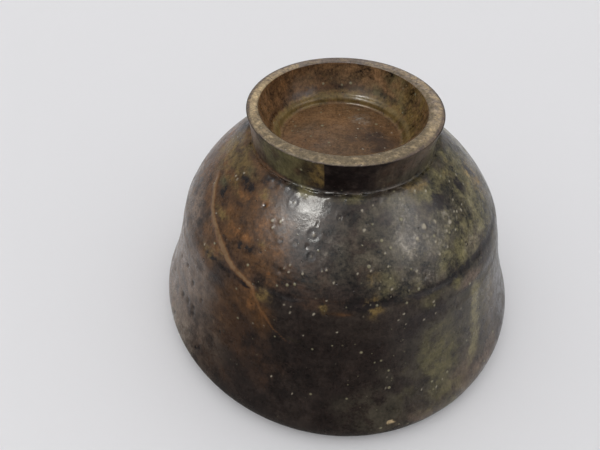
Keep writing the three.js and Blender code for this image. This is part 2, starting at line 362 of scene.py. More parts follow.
def as_thrown(points, s):
    """Where points of the true round form lie on the thrown bowl. Each is pushed along its radius by
    a three-cornered wave that fades towards the foot and by a slight oval. It then shifts sideways
    in step with its height, and once more if it lies in the well inside the foot ring."""
    x, y, z = np.moveaxis(points, -1, 0)
    radius, angle = np.hypot(x, y), np.arctan2(y, x)
    towards_lip = 1 - np.clip(z / HEIGHT, 0, 1)
    push = s.mouth_lobe * towards_lip**2 * np.cos(3 * angle - s.mouth_lobe_turn)
    push = (push + s.oval * np.cos(2 * angle - s.oval_turn)) * np.minimum(1, radius / s.ledge_radius)
    scale = 1 + push / np.maximum(radius, 1e-9)
    disc = HEIGHT - s.ledge_depth - s.disc_drop
    above_floor = soft_step(z, disc - s.floor_thickness, disc - s.glaze_thickness)
    in_well = above_floor * np.clip((s.foot_radius - radius) / s.foot_face_width, 0, 1)
    moved = [
        part * scale + s.foot_lean[axis] * z / HEIGHT + s.well_offset[axis] * in_well
        for axis, part in enumerate((x, y))
    ]
    return np.stack([*moved, z], -1)


CROWD = 0.35  # how much closer than the mean the columns stand at the front of a coat
FRONT = math.radians(-95)


def turned(profile, s, columns, crowd=0.0):
    """Points and outward directions of a profile turned round Z, and thrown out of round. A sine
    wave over the even angles crowds the columns together at the front."""
    angle = np.arange(columns) / columns * math.tau
    angle = angle - crowd * np.sin(angle - FRONT)
    level = 0 * angle
    spin = np.stack([np.cos(angle), np.sin(angle)], -1)
    out = -left_of(profile)
    points = np.concatenate([profile[:, :1, None] * spin, profile[:, 1:, None] + level[:, None]], -1)
    outward = np.concatenate([out[:, :1, None] * spin, out[:, 1:, None] + level[:, None]], -1)
    return as_thrown(points, s), outward


def on_outside(places, s):
    """Points on the outside at directions in degrees and heights in mm, as (direction, height)."""
    curve, _ = outer_curve(s)
    angle, height = np.radians(places[:, 0]), places[:, 1] * MM
    radius = np.interp(height, curve[:, 1], curve[:, 0])
    return as_thrown(np.stack([radius * np.cos(angle), radius * np.sin(angle), height], -1), s)


def piece_from_rings(name, rings, closed, fields=None):
    """One closed mesh from rings of points. A closed profile joins its last ring to its first. Any
    other starts and ends on the axis, where each end ring becomes one point under a fan."""
    columns = rings.shape[1]
    across = np.arange(columns)
    after = (across + 1) % columns
    inner = rings if closed else rings[1:-1]
    index = np.arange(inner.shape[0] * columns).reshape(inner.shape[0], columns)
    lower = index if closed else index[:-1]
    upper = np.roll(index, -1, axis=0) if closed else index[1:]
    quads = np.stack([lower[:, across], lower[:, after], upper[:, after], upper[:, across]], -1)
    points = inner.reshape(-1, 3)
    loops = [quads.reshape(-1)]
    counts = [np.full(quads.size // 4, 4)]
    if not closed:
        first, last = len(points), len(points) + 1
        points = np.concatenate([points, rings[:1, :1].reshape(1, 3), rings[-1:, :1].reshape(1, 3)])
        start = np.stack([np.full(columns, first), index[0, after], index[0, across]], -1)
        end = np.stack([index[-1, across], index[-1, after], np.full(columns, last)], -1)
        loops += [start.reshape(-1), end.reshape(-1)]
        counts += [np.full(2 * columns, 3)]
    loops, counts = np.concatenate(loops), np.concatenate(counts)
    mesh = bpy.data.meshes.new(name)
    mesh.vertices.add(len(points))
    mesh.vertices.foreach_set("co", points.astype(np.float32).ravel())
    mesh.loops.add(len(loops))
    mesh.loops.foreach_set("vertex_index", loops.astype(np.int32))
    mesh.polygons.add(len(counts))
    starts = np.concatenate([[0], np.cumsum(counts)[:-1]])
    mesh.polygons.foreach_set("loop_start", starts.astype(np.int32))
    mesh.polygons.foreach_set("loop_total", counts.astype(np.int32))
    mesh.polygons.foreach_set("use_smooth", np.ones(len(counts), bool))
    mesh.update(calc_edges=True)
    for label, values in (fields or {}).items():
        flat = (values if closed else values[1:-1]).reshape(-1)
        if not closed:
            flat = np.concatenate([flat, [values[0, 0], values[-1, 0]]])
        attribute = mesh.attributes.new(label, "FLOAT", "POINT")
        attribute.data.foreach_set("value", flat.astype(np.float32))
    piece = bpy.data.objects.new(name, mesh)
    bpy.context.scene.collection.objects.link(piece)
    return piece


def settle(piece, node, material):
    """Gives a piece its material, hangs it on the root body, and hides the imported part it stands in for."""
    piece.data.materials.append(material)
    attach(piece, "root")
    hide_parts(node)


EDGE = 0.03 * MM  # a ring this near a coat's end keeps the bend of its shading off the front


def coat_rings(profile, span, s, relief, rows, columns, back_rows, open_ends):
    """A coat of glaze as rings of points over a span of its profile: a fine front moved by its
    relief, and a plain back on the clay. Rows are shares of the span, and open ends are those that
    thin out. Gives front, back and the front's fields."""
    start, end = span
    lengths = np.concatenate([[start], start + EDGE + (end - start - 2 * EDGE) * rows, [end]])
    points, outward = turned(at_lengths(profile, lengths), s, columns, CROWD)
    lift, fields = relief(points, lengths[:, None])
    points = points + outward * lift[..., None]
    behind = start + (end - start) * (1 - np.cos(np.linspace(0, np.pi, back_rows))) / 2
    depth = np.interp(behind, lengths_of(profile), coat_depth(profile, s, *open_ends))
    back, _ = turned(inwards(at_lengths(profile, behind), depth - s.seat_gap), s, columns, CROWD)
    return points, back, fields


def coat_piece(name, points, back, fields, order):
    """A coat's front and back closed into one skin. The order says which comes first, and whether
    the skin is a ring or a cap that starts and ends on the axis."""
    rings = (back[::-1], points) if order == "bowl" else (points, back[::-1])
    blank = np.zeros(back.shape[:2])
    stained = {
        key: np.concatenate([blank, value] if order == "bowl" else [value, blank])
        for key, value in fields.items()
    }
    return piece_from_rings(name, np.concatenate(rings), order == "ring", stained)


# What the fire left on the outside, with sheen, shadow and glints painted among it. Directions are in
# degrees from +X, heights in mm over the lip.

# Paths by direction and height: the raised run, its fork, and the pale streak
RUN = (
    (-165, 61.6), (-161, 60.6), (-156.9, 59.1), (-151.5, 57), (-147.1, 55.6), (-144.2, 54.9), (-140.8, 54),
    (-137.9, 53.1), (-134.7, 52.2), (-131.3, 51.2), (-127.8, 50.1), (-124, 49.2), (-120.3, 48.6),
    (-117.7, 47.9), (-116.6, 46.6), (-114.9, 44.8), (-112.9, 42.8), (-110.8, 41.1), (-109.3, 39.8),
    (-107.7, 38.1), (-105.4, 36.7), (-102.3, 35),
)
RUN_FORK = ((-113.6, 43.2), (-112.6, 41.4), (-111.9, 39.6), (-111.3, 37.8))
STREAK = (
    (-36.8, 44.5), (-37.3, 40.8), (-37.6, 35.4), (-37.8, 29.3), (-38.9, 23.3), (-40.9, 19), (-43.9, 14.4),
)
RUN_SHARES = (0, 0.2, 0.45, 0.58, 0.64, 0.8, 1)  # shares of the run's length, and its widths there in mm
RUN_WIDTHS = (0.75, 0.9, 1.15, 0.9, 0.7, 0.6, 0.24)

# Single marks by direction, height and radius in mm
BUBBLES = (
    (-112.4, 67.2, 1.5), (-99.5, 62.6, 2.1), (-99, 58.6, 1.4), (-112.4, 60.1, 0.9), (-106.2, 60.4, 1.0),
    (-89, 66.1, 0.9), (-71, 50.4, 0.7), (-76.5, 58.3, 0.6), (-35.9, 53.7, 0.8), (-141, 44.5, 0.7),
    (-127.5, 54.8, 0.6), (-98.8, 64.6, 0.6),
)
GRITS = (
    (-119, 62.8, 0.75), (-117.6, 61.5, 0.6), (-115.2, 63.3, 0.7), (-108, 55, 0.5), (-106, 54.5, 0.5),
    (-101, 55, 0.6), (-94.3, 56.2, 0.45), (-92.7, 56.6, 0.45), (-90, 54, 0.5), (-81.8, 56, 0.5),
    (-78.4, 67.3, 0.6), (-78.2, 64, 0.6), (-71, 59.5, 0.5), (-70.5, 57, 0.5), (-74.5, 52.7, 0.5),
    (-70.3, 52.1, 0.55), (-77, 56.5, 0.45), (-51.5, 62, 1.3), (-45.5, 61.8, 0.7), (-42, 59, 0.6),
    (-38.5, 60, 1.0), (-37.8, 58, 0.5), (-33.5, 61, 0.6), (-34, 59.7, 0.5), (-32, 60.5, 0.6),
    (-30, 62.7, 0.5), (-29.5, 60, 0.7), (-27, 60.5, 0.5), (-49, 58.5, 0.5), (-49.5, 55.7, 0.7),
    (-45, 56.2, 0.6), (-56.5, 60.5, 0.9), (-60.4, 54.4, 0.6), (-64.5, 51, 0.5), (-66, 53.6, 0.5),
    (-95.6, 46.2, 0.5), (-88, 41.6, 0.5), (-98.3, 39, 0.4), (-80, 46.3, 0.4), (-67.3, 45.5, 0.5),
    (-66.5, 42, 0.45), (-69, 44, 0.45), (-60.5, 41.6, 0.5), (-56.5, 46, 0.5), (-56, 42, 0.45),
    (-92, 49.8, 0.4), (-47.7, 68.3, 0.6), (-41.5, 67.3, 0.6), (-16.5, 64.7, 0.6), (-24, 65.5, 0.5),
    (-17, 62.5, 0.5), (-148.5, 66.4, 0.6), (-151.5, 64.8, 0.5), (-143.5, 48.4, 0.5), (-108, 37.4, 0.4),
    (-106, 36.3, 0.4), (-111, 38, 0.5), (-119, 19.8, 0.4), (-107, 21.5, 0.5), (-100, 18, 0.4),
    (-88, 31, 0.4), (-73, 21.4, 0.6), (-80, 22, 0.35), (-64, 18.5, 0.45), (-62, 17.5, 0.4), (-57, 16, 0.5),
    (-59, 20, 0.4),
)
PITS = (
    (-151.5, 21.5, 1.5), (-147, 23.2, 1.2), (-143, 23.6, 1.3), (-142.4, 21.4, 1.1), (-135.5, 13.5, 1.4),
    (-137, 12, 1.0), (-160, 31, 0.9), (-146, 31.5, 1.1), (-152, 34, 0.9), (-139, 30, 0.8), (-165, 20, 0.9),
    (-154, 11, 0.9), (-128, 26, 0.6), (-126, 64.6, 0.6), (-57.5, 52.6, 0.6), (-85, 37, 0.6),
)
CHIP = (-72, 9.6)  # the middle of the chip on the belly
STRAYS = 120  # more marks, drawn at random: half are grains, a quarter bubbles and a quarter pits

# Stains by field, mauve, ash and frost partly painted sheen: direction, height, half width in degrees,
# half height in mm, and strength
WASHES = {
    "rust": (
        (-172, 62, 14, 10, 1.2), (-154, 64, 16, 10, 1.4), (-138, 63, 16, 10, 1.5), (-121, 58, 12, 8, 1.3),
        (-88, 47, 6, 1.2, 0.4), (-112, 54, 7, 5, 0.8), (-118, 43, 9, 6, 0.75), (-128, 40, 10, 8, 0.6),
        (-112, 40, 5, 5, 1.0), (-130, 31, 12, 8, 0.5), (-140, 50, 10, 5, 1.2), (120, 60, 26, 9, 1.0),
        (165, 59, 24, 10, 1.1), (30, 44, 22, 10, 0.5), (165, 36, 20, 14, 0.45), (80, 62, 20, 6, 0.6),
    ),
    "ember": (
        (-129, 57.4, 7, 1.9, 0.7), (-147, 54, 4, 0.8, 0.5), (-160, 63.6, 14, 1.2, 0.6),
        (-113, 52.5, 1.8, 0.8, 0.7), (-88, 46.8, 5, 0.6, 0.35), (-122, 61, 6, 1.4, 0.5),
        (-116, 43.6, 3.4, 3, 0.55), (-112, 41, 2.4, 1.6, 0.6), (-138, 63.6, 8, 0.8, 0.5),
        (-126, 64.6, 5, 1, 0.5), (-118, 47, 4, 2, 0.5), (-166, 58, 5, 1, 0.6), (115, 62, 10, 3, 0.8),
        (150, 56, 8, 2, 0.8), (172, 63, 10, 1.6, 0.7), (40, 50, 8, 2, 0.5),
    ),
    "gold": (
        (-167, 65.4, 10, 4, 1.2), (-157, 66.6, 12, 2.6, 1.0), (-150, 63.4, 10, 1, 0.8),
        (-143, 57.6, 6, 1.2, 0.7), (-177, 65, 9, 3.6, 1.2), (-159, 69, 8, 1.6, 0.9),
        (-140, 48.5, 6, 2, 0.6), (-112.5, 47, 3.6, 2, 0.8), (-4, 59, 12, 6, 0.55), (-130, 66, 6, 1.2, 0.6),
        (-77.3, 47.6, 3.4, 3, 0.8), (-93, 48, 1.6, 1.2, 0.8), (-77, 55, 3, 2, 0.5),
        (-47, 68.6, 10, 1, 0.6), (-18, 67, 12, 2.2, 0.3), (75, 64, 18, 5, 0.7), (140, 67, 20, 3, 0.8),
        (-118.5, 57.6, 2.4, 1, 0.6), (-133, 50.6, 3, 0.8, 0.6),
    ),
    "olive": (
        (-155, 61.8, 4, 1.4, 0.8), (-45.5, 47.8, 3.2, 2.6, 1.1), (-47.5, 53.5, 5, 4, 0.8),
        (-19, 57, 14, 8, 1.1), (-36, 56, 14, 7, 0.8), (-55, 24, 9, 14, 0.85), (-51, 11, 10, 8, 0.6),
        (-62, 50, 8, 4, 0.5), (30, 56, 26, 12, 0.9), (95, 34, 28, 18, 0.6), (-72, 53, 7, 4, 0.5),
        (-58, 47.5, 7, 3, 0.5), (-100, 36.6, 3, 1, 0.4), (-34, 67.4, 24, 2.2, 1.1),
        (-112, 69.2, 12, 0.8, 0.9), (-84, 69, 14, 0.7, 0.6), (-30, 34, 10, 14, 0.4), (-68, 17, 5, 7, 0.35),
        (-10, 63, 16, 7, 1.2), (-150, 67.6, 12, 1.6, 0.6),
    ),
    # mauve: bloom, and painted sheen where the left and lower walls mirror the pale table
    "mauve": (
        (-168, 28, 18, 30, 1.2), (172, 30, 26, 26, 1.0), (-149, 34, 14, 18, 1.0), (-39, 45.5, 8, 2.4, 0.7),
        (-35, 12, 10, 8, 0.7), (-69, 6, 9, 4, 0.35), (-119, 63, 6, 3, 1.0), (-131, 61, 8, 2, 0.3),
        (-30, 54, 6, 3, 0.7), (60, 22, 22, 16, 0.6), (-112, 62, 5, 3, 0.5), (-136, 20, 14, 14, 0.5),
        (-158, 12, 18, 10, 1.3), (-44, 13, 9, 8, 0.8), (-58, 8, 12, 5, 0.6), (-28, 30, 8, 12, 0.5),
    ),
    "umber": (
        (-126, 34, 18, 16, 0.9), (-150, 48, 22, 6, 0.9), (-104, 53.6, 10, 4, 0.6), (-112, 28, 14, 12, 0.6),
        (-94, 49, 12, 2, 0.6), (140, 50, 30, 16, 0.9), (-132, 14, 20, 8, 0.5), (-80, 56, 12, 8, 0.4),
    ),
    # ash: grey bloom, and painted sheen of the room on the front and the right shoulder
    "ash_and_sheen": (
        (-96, 54.5, 9, 5, 0.4), (-64, 60, 20, 9, 1.0), (-36, 57, 22, 11, 1.0), (-88, 60, 10, 7, 0.5),
        (-44, 30, 20, 26, 0.9), (-57, 16, 15, 18, 0.75), (-74, 12, 12, 9, 0.8), (10, 40, 40, 34, 0.9),
        (110, 60, 40, 16, 0.5), (-70, 48, 20, 6, 0.4),
    ),
    # frost: fine crystals, and painted sheen: the pinkish sheen on the right shoulder and the pale reflection
    # of the table low on the left wall
    "frost_and_sheen": (
        (-60, 61.6, 7.5, 5, 0.95), (-50, 58.5, 8, 5, 0.6), (-38, 60.5, 9, 4, 0.6), (-150, 8, 15, 8, 1.0),
        (-30, 54, 7, 3, 0.6), (-56, 53, 14, 4, 0.45), (-95, 60, 9, 5, 0.4), (-20, 59, 8, 5, 0.4),
        (20, 60, 20, 6, 0.5), (-58, 20, 10, 10, 0.25), (-134, 4, 10, 5, 0.6),
    ),
    "soot": (
        (-142, 65.6, 8, 1.2, 1.0), (-132, 68.4, 6, 1.4, 1.0), (-118, 68.6, 6, 1.2, 0.9),
        (-4, 60.5, 3, 2.4, 1.1), (-150, 60.8, 4.4, 1.7, 0.9), (-146, 59.4, 4, 1.2, 0.6),
        (-125, 55.2, 5.4, 1.1, 0.9), (-121, 56.4, 3, 0.8, 0.7), (-136, 54.2, 3.4, 0.6, 0.7),
        (-129, 69, 7, 0.7, 0.9), (-20.5, 63.6, 2.8, 2.6, 1.3), (-37.5, 64.6, 5.5, 2.2, 1.2),
        (-82, 48.9, 4.4, 2, 1.5), (-105, 48.8, 6, 0.9, 1.0), (-64, 48.9, 13, 1, 0.8),
        (-36, 49.6, 10, 1, 1.1), (-20, 49.2, 8, 0.9, 0.9), (-34, 58.7, 5, 0.8, 0.7),
        (-128, 47.4, 4, 0.8, 0.6), (-137, 47.4, 5, 0.8, 0.5), (-119, 47.6, 5, 0.8, 0.7),
        (-146, 46.6, 4, 0.8, 0.5), (-166, 58.6, 3, 0.8, 0.6), (-131, 59.8, 3, 0.8, 0.5),
        (-139, 62, 4, 0.8, 0.5), (60, 52, 8, 3, 0.7), (150, 62, 7, 2, 0.8), (-102, 26, 18, 24, 0.5),
        (100, 50, 30, 2, 0.6), (-50, 60, 3, 1, 0.4), (-26, 57.6, 3, 1, 0.4), (-28, 66.5, 6, 1.4, 0.6),
    ),
    "specked": (
        (-62, 56, 34, 12, 1.0), (-100, 52, 22, 7, 0.8), (-62, 26, 30, 22, 1.0), (-98, 24, 24, 18, 0.4),
    ),
}
LINE_HEIGHT = 47.4  # the trimming line's mean height, and how far it tips towards a direction
LINE_TIP = 1.8
LINE_TIP_TURN = -60
TOOL_PITCHES = (3.1, 1.9)  # mm from one line of the trimming tool to the next, in two sets
FOOT_BREAK = -99.5  # where the yellow patch on the foot's outside stops short at the black one


def scattered(count, low, high, seed):
    """Directions all the way round and heights between two, drawn at random from a seed."""
    draw = np.random.default_rng(seed)
    return np.stack([draw.uniform(-180, 180, count), draw.uniform(low, high, count)], 1), draw


def placed(rows, s):
    """Points on the outside and radii in metres, from rows of a direction, a height and a radius."""
    rows = np.array(rows, float)
    return on_outside(rows[:, :2], s), rows[:, 2] * MM


def foot_washes(angle, ragged, on_foot, high):
    """The foot ring's outside: grey with painted sheen at its left and right, olive, a yellow patch that
    stops short, then black. High is 0 at its root and 1 at the resting face, under which it's dark all
    round. Ragged is the direction moved by noise, for the edges that aren't sharp."""
    past_break = soft_step(turn_from(angle, FOOT_BREAK), -0.5, 0.5)
    patch = bell(np.minimum(turn_from(ragged, FOOT_BREAK), 0) / 8) * (1 - past_break)
    black = past_break * soft_step(-turn_from(ragged, -66), -8, 14)
    brim = bell((high - 1.02) / 0.11)
    return {
        "gold": 0.65 * on_foot * patch,
        "olive": on_foot * sides(ragged, (-126, 22, 0.9), (-18, 22, 0.5)),
        # mauve here is painted sheen on the left and right of the ring's outside
        "mauve": on_foot * sides(ragged, (-160, 14, 0.9), (-42, 20, 0.9 * high)),
        "umber": 0.6 * on_foot * (1 - black),
        # ash here is painted sheen on the right of the ring's outside
        "ash_and_sheen": on_foot * sides(ragged, (-40, 26, 0.8), (-5, 24, 0.7)),
        "soot": on_foot * np.clip(0.82 * black + 0.35 * brim, 0, 1),
    }


def outer_relief(s, r):
    """The relief of the outer coat, as a function of its points and of the length along them."""
    run, fork, streak = (smooth_path(on_outside(np.array(p, float), s)) for p in (RUN, RUN_FORK, STREAK))
    grits, bubbles, pits = (placed(rows, s) for rows in (GRITS, BUBBLES, PITS))
    chip = on_outside(np.array([CHIP], float), s)
    stray, draw = scattered(STRAYS, low=4, high=68, seed=3)
    strays, stray_size = on_outside(stray, s), draw.uniform(0.2, 0.5, STRAYS) * MM
    root = (HEIGHT - s.foot_height) / MM
    foot_from = 0.65  # mm over the root, from where heights on the foot are counted
    grit_core, pit_core = 0.62, 0.8  # the bell's width as a share of a mark's radius

    def veins(points):
        """The run with its fork, and the streak: bells of the distance from their paths, whose
        widths and strengths change along the way."""
        shaken = 0.35 * MM * clouds(points, 3 * MM, 81) + 0.3 * MM * clouds(points, 1 * MM, 80, 2)
        apart, share = off_path(points + shaken[..., None], run)
        vein = bell((apart / np.interp(share, RUN_SHARES, np.array(RUN_WIDTHS) * MM)) ** 1.5)
        vein *= np.interp(share, (0, 0.06, 0.58, 0.7, 1), (0.2, 1, 0.95, 0.7, 0.45))
        apart, share = off_path(points, fork)
        vein = np.maximum(vein, 0.7 * bell(apart / (0.4 * MM)) * (1.1 - share))
        apart, share = off_path(points + 0.9 * MM * clouds(points, 7 * MM, 86)[..., None], streak)
        return vein, 1.1 * bell(apart / (2.6 * MM)) * np.interp(share, (0, 0.12, 0.8, 1), (0, 1, 0.9, 0.2))

    def relief(points, along):
        """How far each point is lifted: the sum of noises, waves, steps and the shapes of single
        marks. With it come the stains, each the strongest of its patches, cut off at the foot. Mauve, ash
        and frost are partly painted sheen, and the bubbles carry painted shadow and glints."""
        angle = np.degrees(np.arctan2(points[..., 1], points[..., 0]))
        height = points[..., 2] / MM
        over_root = height - root
        on_foot = soft_step(over_root, 0.45, 1.85)
        frayed = 0.55 * clouds(points, 9 * MM, 61), 0.55 * clouds(points, 6 * MM, 71)
        vein, streaked = veins(points)

        line = LINE_HEIGHT + LINE_TIP * np.cos(np.radians(angle - LINE_TIP_TURN))
        from_line = height - line - 0.8 * clouds(points, 9 * MM, 82)
        groove = bell(from_line / 0.9) * soft_step(clouds(points, 6 * MM, 83), -0.5, 0.1)
        inked = 0.35 + 0.5 * towards(angle, -50, 55)
        wheel = (along / MM + 0.5 * grain(points, 28 * MM, 84)) * math.tau
        lines = np.sin(wheel / TOOL_PITCHES[0]) + 0.7 * np.sin(wheel / TOOL_PITCHES[1] + 1)
        lines *= 0.25 + 0.75 * bell((height - line - 2) / 6)

        rough = points + 0.16 * MM * clouds(points, 0.8 * MM, 85, 1)[..., None]
        grit = spots(rough, grits[0], grits[1] * grit_core, bell)
        grit += 0.7 * spots(rough, strays[::2], stray_size[::2], bell)
        bubble = spots(points, *bubbles, crater) + 0.6 * spots(points, strays[1::4], stray_size[1::4], crater)
        # Painted shadow: a dark ring round each bubble. Painted glint: a pale dot on each bubble's bead.
        painted_ring_shadow = spots(points, *bubbles, lambda far: bell((far - 0.7) / 0.3))
        bead = spots(points, *bubbles, lambda far: bell(far / 0.26))
        pit = spots(rough, pits[0], pits[1] * pit_core, bell)
        pit += 0.6 * spots(rough, strays[3::4], stray_size[3::4], bell)
        torn = points + 0.9 * MM * np.stack([clouds(points, 2.2 * MM, k, 2) for k in (87, 88, 89)], -1)
        chipped = 1 - soft_step(np.linalg.norm((torn - chip) / (1.6, 1, 0.7), axis=-1), 0.5 * MM, 1.2 * MM)

        fields = {
            name: patches(angle, height, rows, frayed) * (1 - on_foot) for name, rows in WASHES.items()
        }
        rusty = np.minimum(fields["rust"], 1)
        lift = r.lump * clouds(points, 20 * MM, 11) + r.peel * clouds(points, 2.6 * MM, 12, 2)
        lift += r.ripple * clouds(points, 7 * MM, 14, 2) * (1 - on_foot)
        lift += r.root_lump * (0.5 + clouds(points, 2 * MM, 15, 2)) * bell(over_root + 0.05)
        lift += r.wheel_line * lines * (1 - on_foot)
        lift += r.blister * rusty * clouds(points, 1.8 * MM, 13, 2)
        lift += r.run * vein + r.grit * np.minimum(grit, 1) + r.bubble * bubble - r.pit * np.minimum(pit, 1)
        lift -= r.groove * groove + r.chip * chipped
        lift -= r.step * soft_step(from_line, -0.5, 1) * bell((from_line - 1) / 6)

        high = (over_root - foot_from) / (s.foot_height / MM - foot_from)
        for name, wash in foot_washes(angle, angle + 12 * frayed[0], on_foot, high).items():
            fields[name] = fields[name] + wash
        # soot takes in the painted shadow rings round the bubbles
        fields["soot"] = np.clip(fields["soot"] + inked * groove + pit + 0.8 * painted_ring_shadow, 0, 1.3)
        fields["specked"] = 0.12 + 0.88 * fields["specked"]
        fields |= {
            "straw": streaked,
            "run": np.clip(vein, 0, 1),
            "bare": chipped,
            "dull": bell((over_root - 0.25) / 1.4) + 0.5 * on_foot,
            "mottled": (0.4 + 0.6 * soft_step(height, 43, 52)) * (1 - 0.5 * rusty) * (1 - 0.6 * on_foot),
            # cream takes in the painted glints on the bubbles' beads
            "cream": np.clip(1.2 * grit + 0.7 * bead, 0, 1),
            "wheeled": towards(angle, -95, 40) * bell((height - line - 3) / 3.5),
        }
        return lift, fields

    return relief


def inside_relief(s, r):
    """The relief of the inside: throwing lines that climb from the floor, and a glassy tea pool."""
    pitch = 5  # mm from one throwing line to the next

    def relief(points, along):
        """A sine wave of the length along the wall, set on by a pitch in each turn, plus noise."""
        flat = np.zeros(points.shape[:2])
        radius = np.hypot(points[..., 0], points[..., 1]) / MM
        travel = along / MM + np.arctan2(points[..., 1], points[..., 0]) * pitch / math.tau
        climbing = np.sin(travel * math.tau / pitch) + 0.3 * grain(points, 12 * MM, 33)
        lift = r.throwing_line * climbing * soft_step(radius, 4, 16)
        lift += r.lump * clouds(points, 14 * MM, 32) * soft_step(radius, 0, 6)
        pool = soft_step(3 * clouds(points, 9 * MM, 34) - radius, -19, -6)
        fields = {
            "olive": 0.55 * pool,
            "umber": 0.5 + 0.5 * climbing,
            "rust": 0.5 * soft_step(radius, 44, 56),
            "specked": 0.4,
            "mottled": 0.7,
        }
        return lift, {key: value + flat for key, value in fields.items()}

    return relief


# Grains in the well by direction and distance from its middle in mm
WELL_GRITS = (
    (48, 5.7), (21, 6.7), (18, 10), (14, 14.4), (-1, 7.2), (-46, 7.9), (-129, 6.4), (30, 12.4),
    (60, 8.4), (5, 11.2), (-20, 12.6), (100, 11.6), (150, 12.2), (-90, 12), (74, 3.2), (-8, 3.4),
)


def well_relief(s, r):
    """The relief of the well: a lumpy wall, a smooth ledge, and a disc with grains under its glaze."""
    ledge = s.ledge_radius / MM
    turn, far = np.radians([row[0] for row in WELL_GRITS]), np.array([row[1] for row in WELL_GRITS]) * MM
    level = HEIGHT - s.ledge_depth - s.disc_drop + s.disc_dome * (1 - far / s.ledge_radius)
    grits = np.stack([far * np.cos(turn), far * np.sin(turn), level], 1)
    sizes = (0.2 + 0.12 * np.cos(np.arange(len(far)) * 2.4)) * MM

    def relief(points, along):
        """Noise and grains, with stains as bells over the direction and over the distance from the
        ledge, in mm outwards."""
        x, y = ((points[..., i] - s.foot_lean[i] - s.well_offset[i]) / MM for i in (0, 1))
        radius, angle = np.hypot(x, y), np.degrees(np.arctan2(y, x))
        calm = soft_step(radius, 0, 4)
        ragged = angle + 14 * clouds(points, 7 * MM, 53)
        past = radius - ledge
        on_ledge, on_wall = bell((past + 0.7) / 1.2), soft_step(past, 0, 1)
        on_disc = soft_step(-past, 1.9, 3.2)
        lift = r.lump * clouds(points, 8 * MM, 51) * calm
        lift += r.peel * clouds(points, 1.6 * MM, 52, 2) * calm * (1 + 2 * on_disc)
        grit = spots(points, grits, sizes, bell)
        lift += 0.6 * r.grit * np.minimum(grit, 1)
        seam = 0.35 * bell((past + 2.6) / 0.5) + 0.12 * bell((past - 0.9) / 0.6)
        blots = sides(ragged, (56, 5, 1), (112, 6, 0.4), (-20, 12, 0.4))
        yellow = sides(ragged, (15, 30, 0.55), (100, 34, 0.3 * bell((past - 2.6) / 1.2)))
        brown = 0.35 * on_wall * bell((past - 4.4) / 1.6) + 0.95 * bell((past - 1) / 0.55)
        fields = {
            "gold": 1.2 * on_ledge + on_wall * yellow,
            "ember": 0.4 * on_disc * bell(np.hypot(x + 9, y + 4) / 8),
            "rust": 0.3 * on_disc * soft_step(x, -14, -2) + 0.7 * on_wall * towards(ragged, 140, 50),
            "soot": np.clip(seam + 0.6 * on_wall * blots * bell((past - 4) / 2), 0, 1),
            "mauve": 0.5 * on_disc * bell(np.hypot(x + 5, y + 6) / 7),
            "umber": 0.8 * on_disc * bell(np.hypot(x - 10, y + 1) / 10) + brown,
            "straw": 0.3 * on_ledge,
            "mottled": 0.45 + 0.4 * on_wall,
            "olive": 0.5 * on_wall * towards(ragged, 40, 40) + 0.3 * on_ledge,
            "cream": np.clip(1.2 * grit, 0, 1),
            "specked": 0.7 * on_disc + 0.8 * on_wall,
            # a pale blob on the disc: painted reflection
            "frost_and_sheen": 0.9 * bell(np.hypot((x - 6) / 3.4, (y - 9) / 3)),
        }
        return lift, fields

    return relief


# Materials

class Nodes:
    """A node tree, written node by node. Its values are numbers, colours, vectors or sockets."""

    def __init__(self, tree):
        self.tree = tree

    def node(self, kind, inputs=None, **settings):
        """A new node with its settings, and with its inputs joined to values."""
        made = self.tree.nodes.new(kind)
        for key, value in settings.items():
            setattr(made, key, value)
        for key, value in (inputs or {}).items():
            self.join(value, made.inputs[key])
        return made

    def join(self, value, socket):
        """Links a socket to another, or gives it a value."""
        if isinstance(value, bpy.types.NodeSocket):
            self.tree.links.new(value, socket)
        else:
            socket.default_value = value

    def math(self, operation, a, b=0.0):
        """Two numbers under an operation of the Math node."""
        return self.node("ShaderNodeMath", {0: a, 1: b}, operation=operation).outputs[0]

    def plus(self, a, b):
        """The sum of two numbers."""
        return self.math("ADD", a, b)

    def times(self, a, b):
        """The product of two numbers."""
        return self.math("MULTIPLY", a, b)

    def cosine(self, a, b):
        """The cosine of the angle between two unit vectors, which is their dot product."""
        made = self.node("ShaderNodeVectorMath", {0: a, 1: b}, operation="DOT_PRODUCT")
        return made.outputs["Value"]

    def seen_by_gloss(self):
        """1 for the rays that a glossy surface sends out, 0 for all others."""
        return self.node("ShaderNodeLightPath").outputs["Is Glossy Ray"]


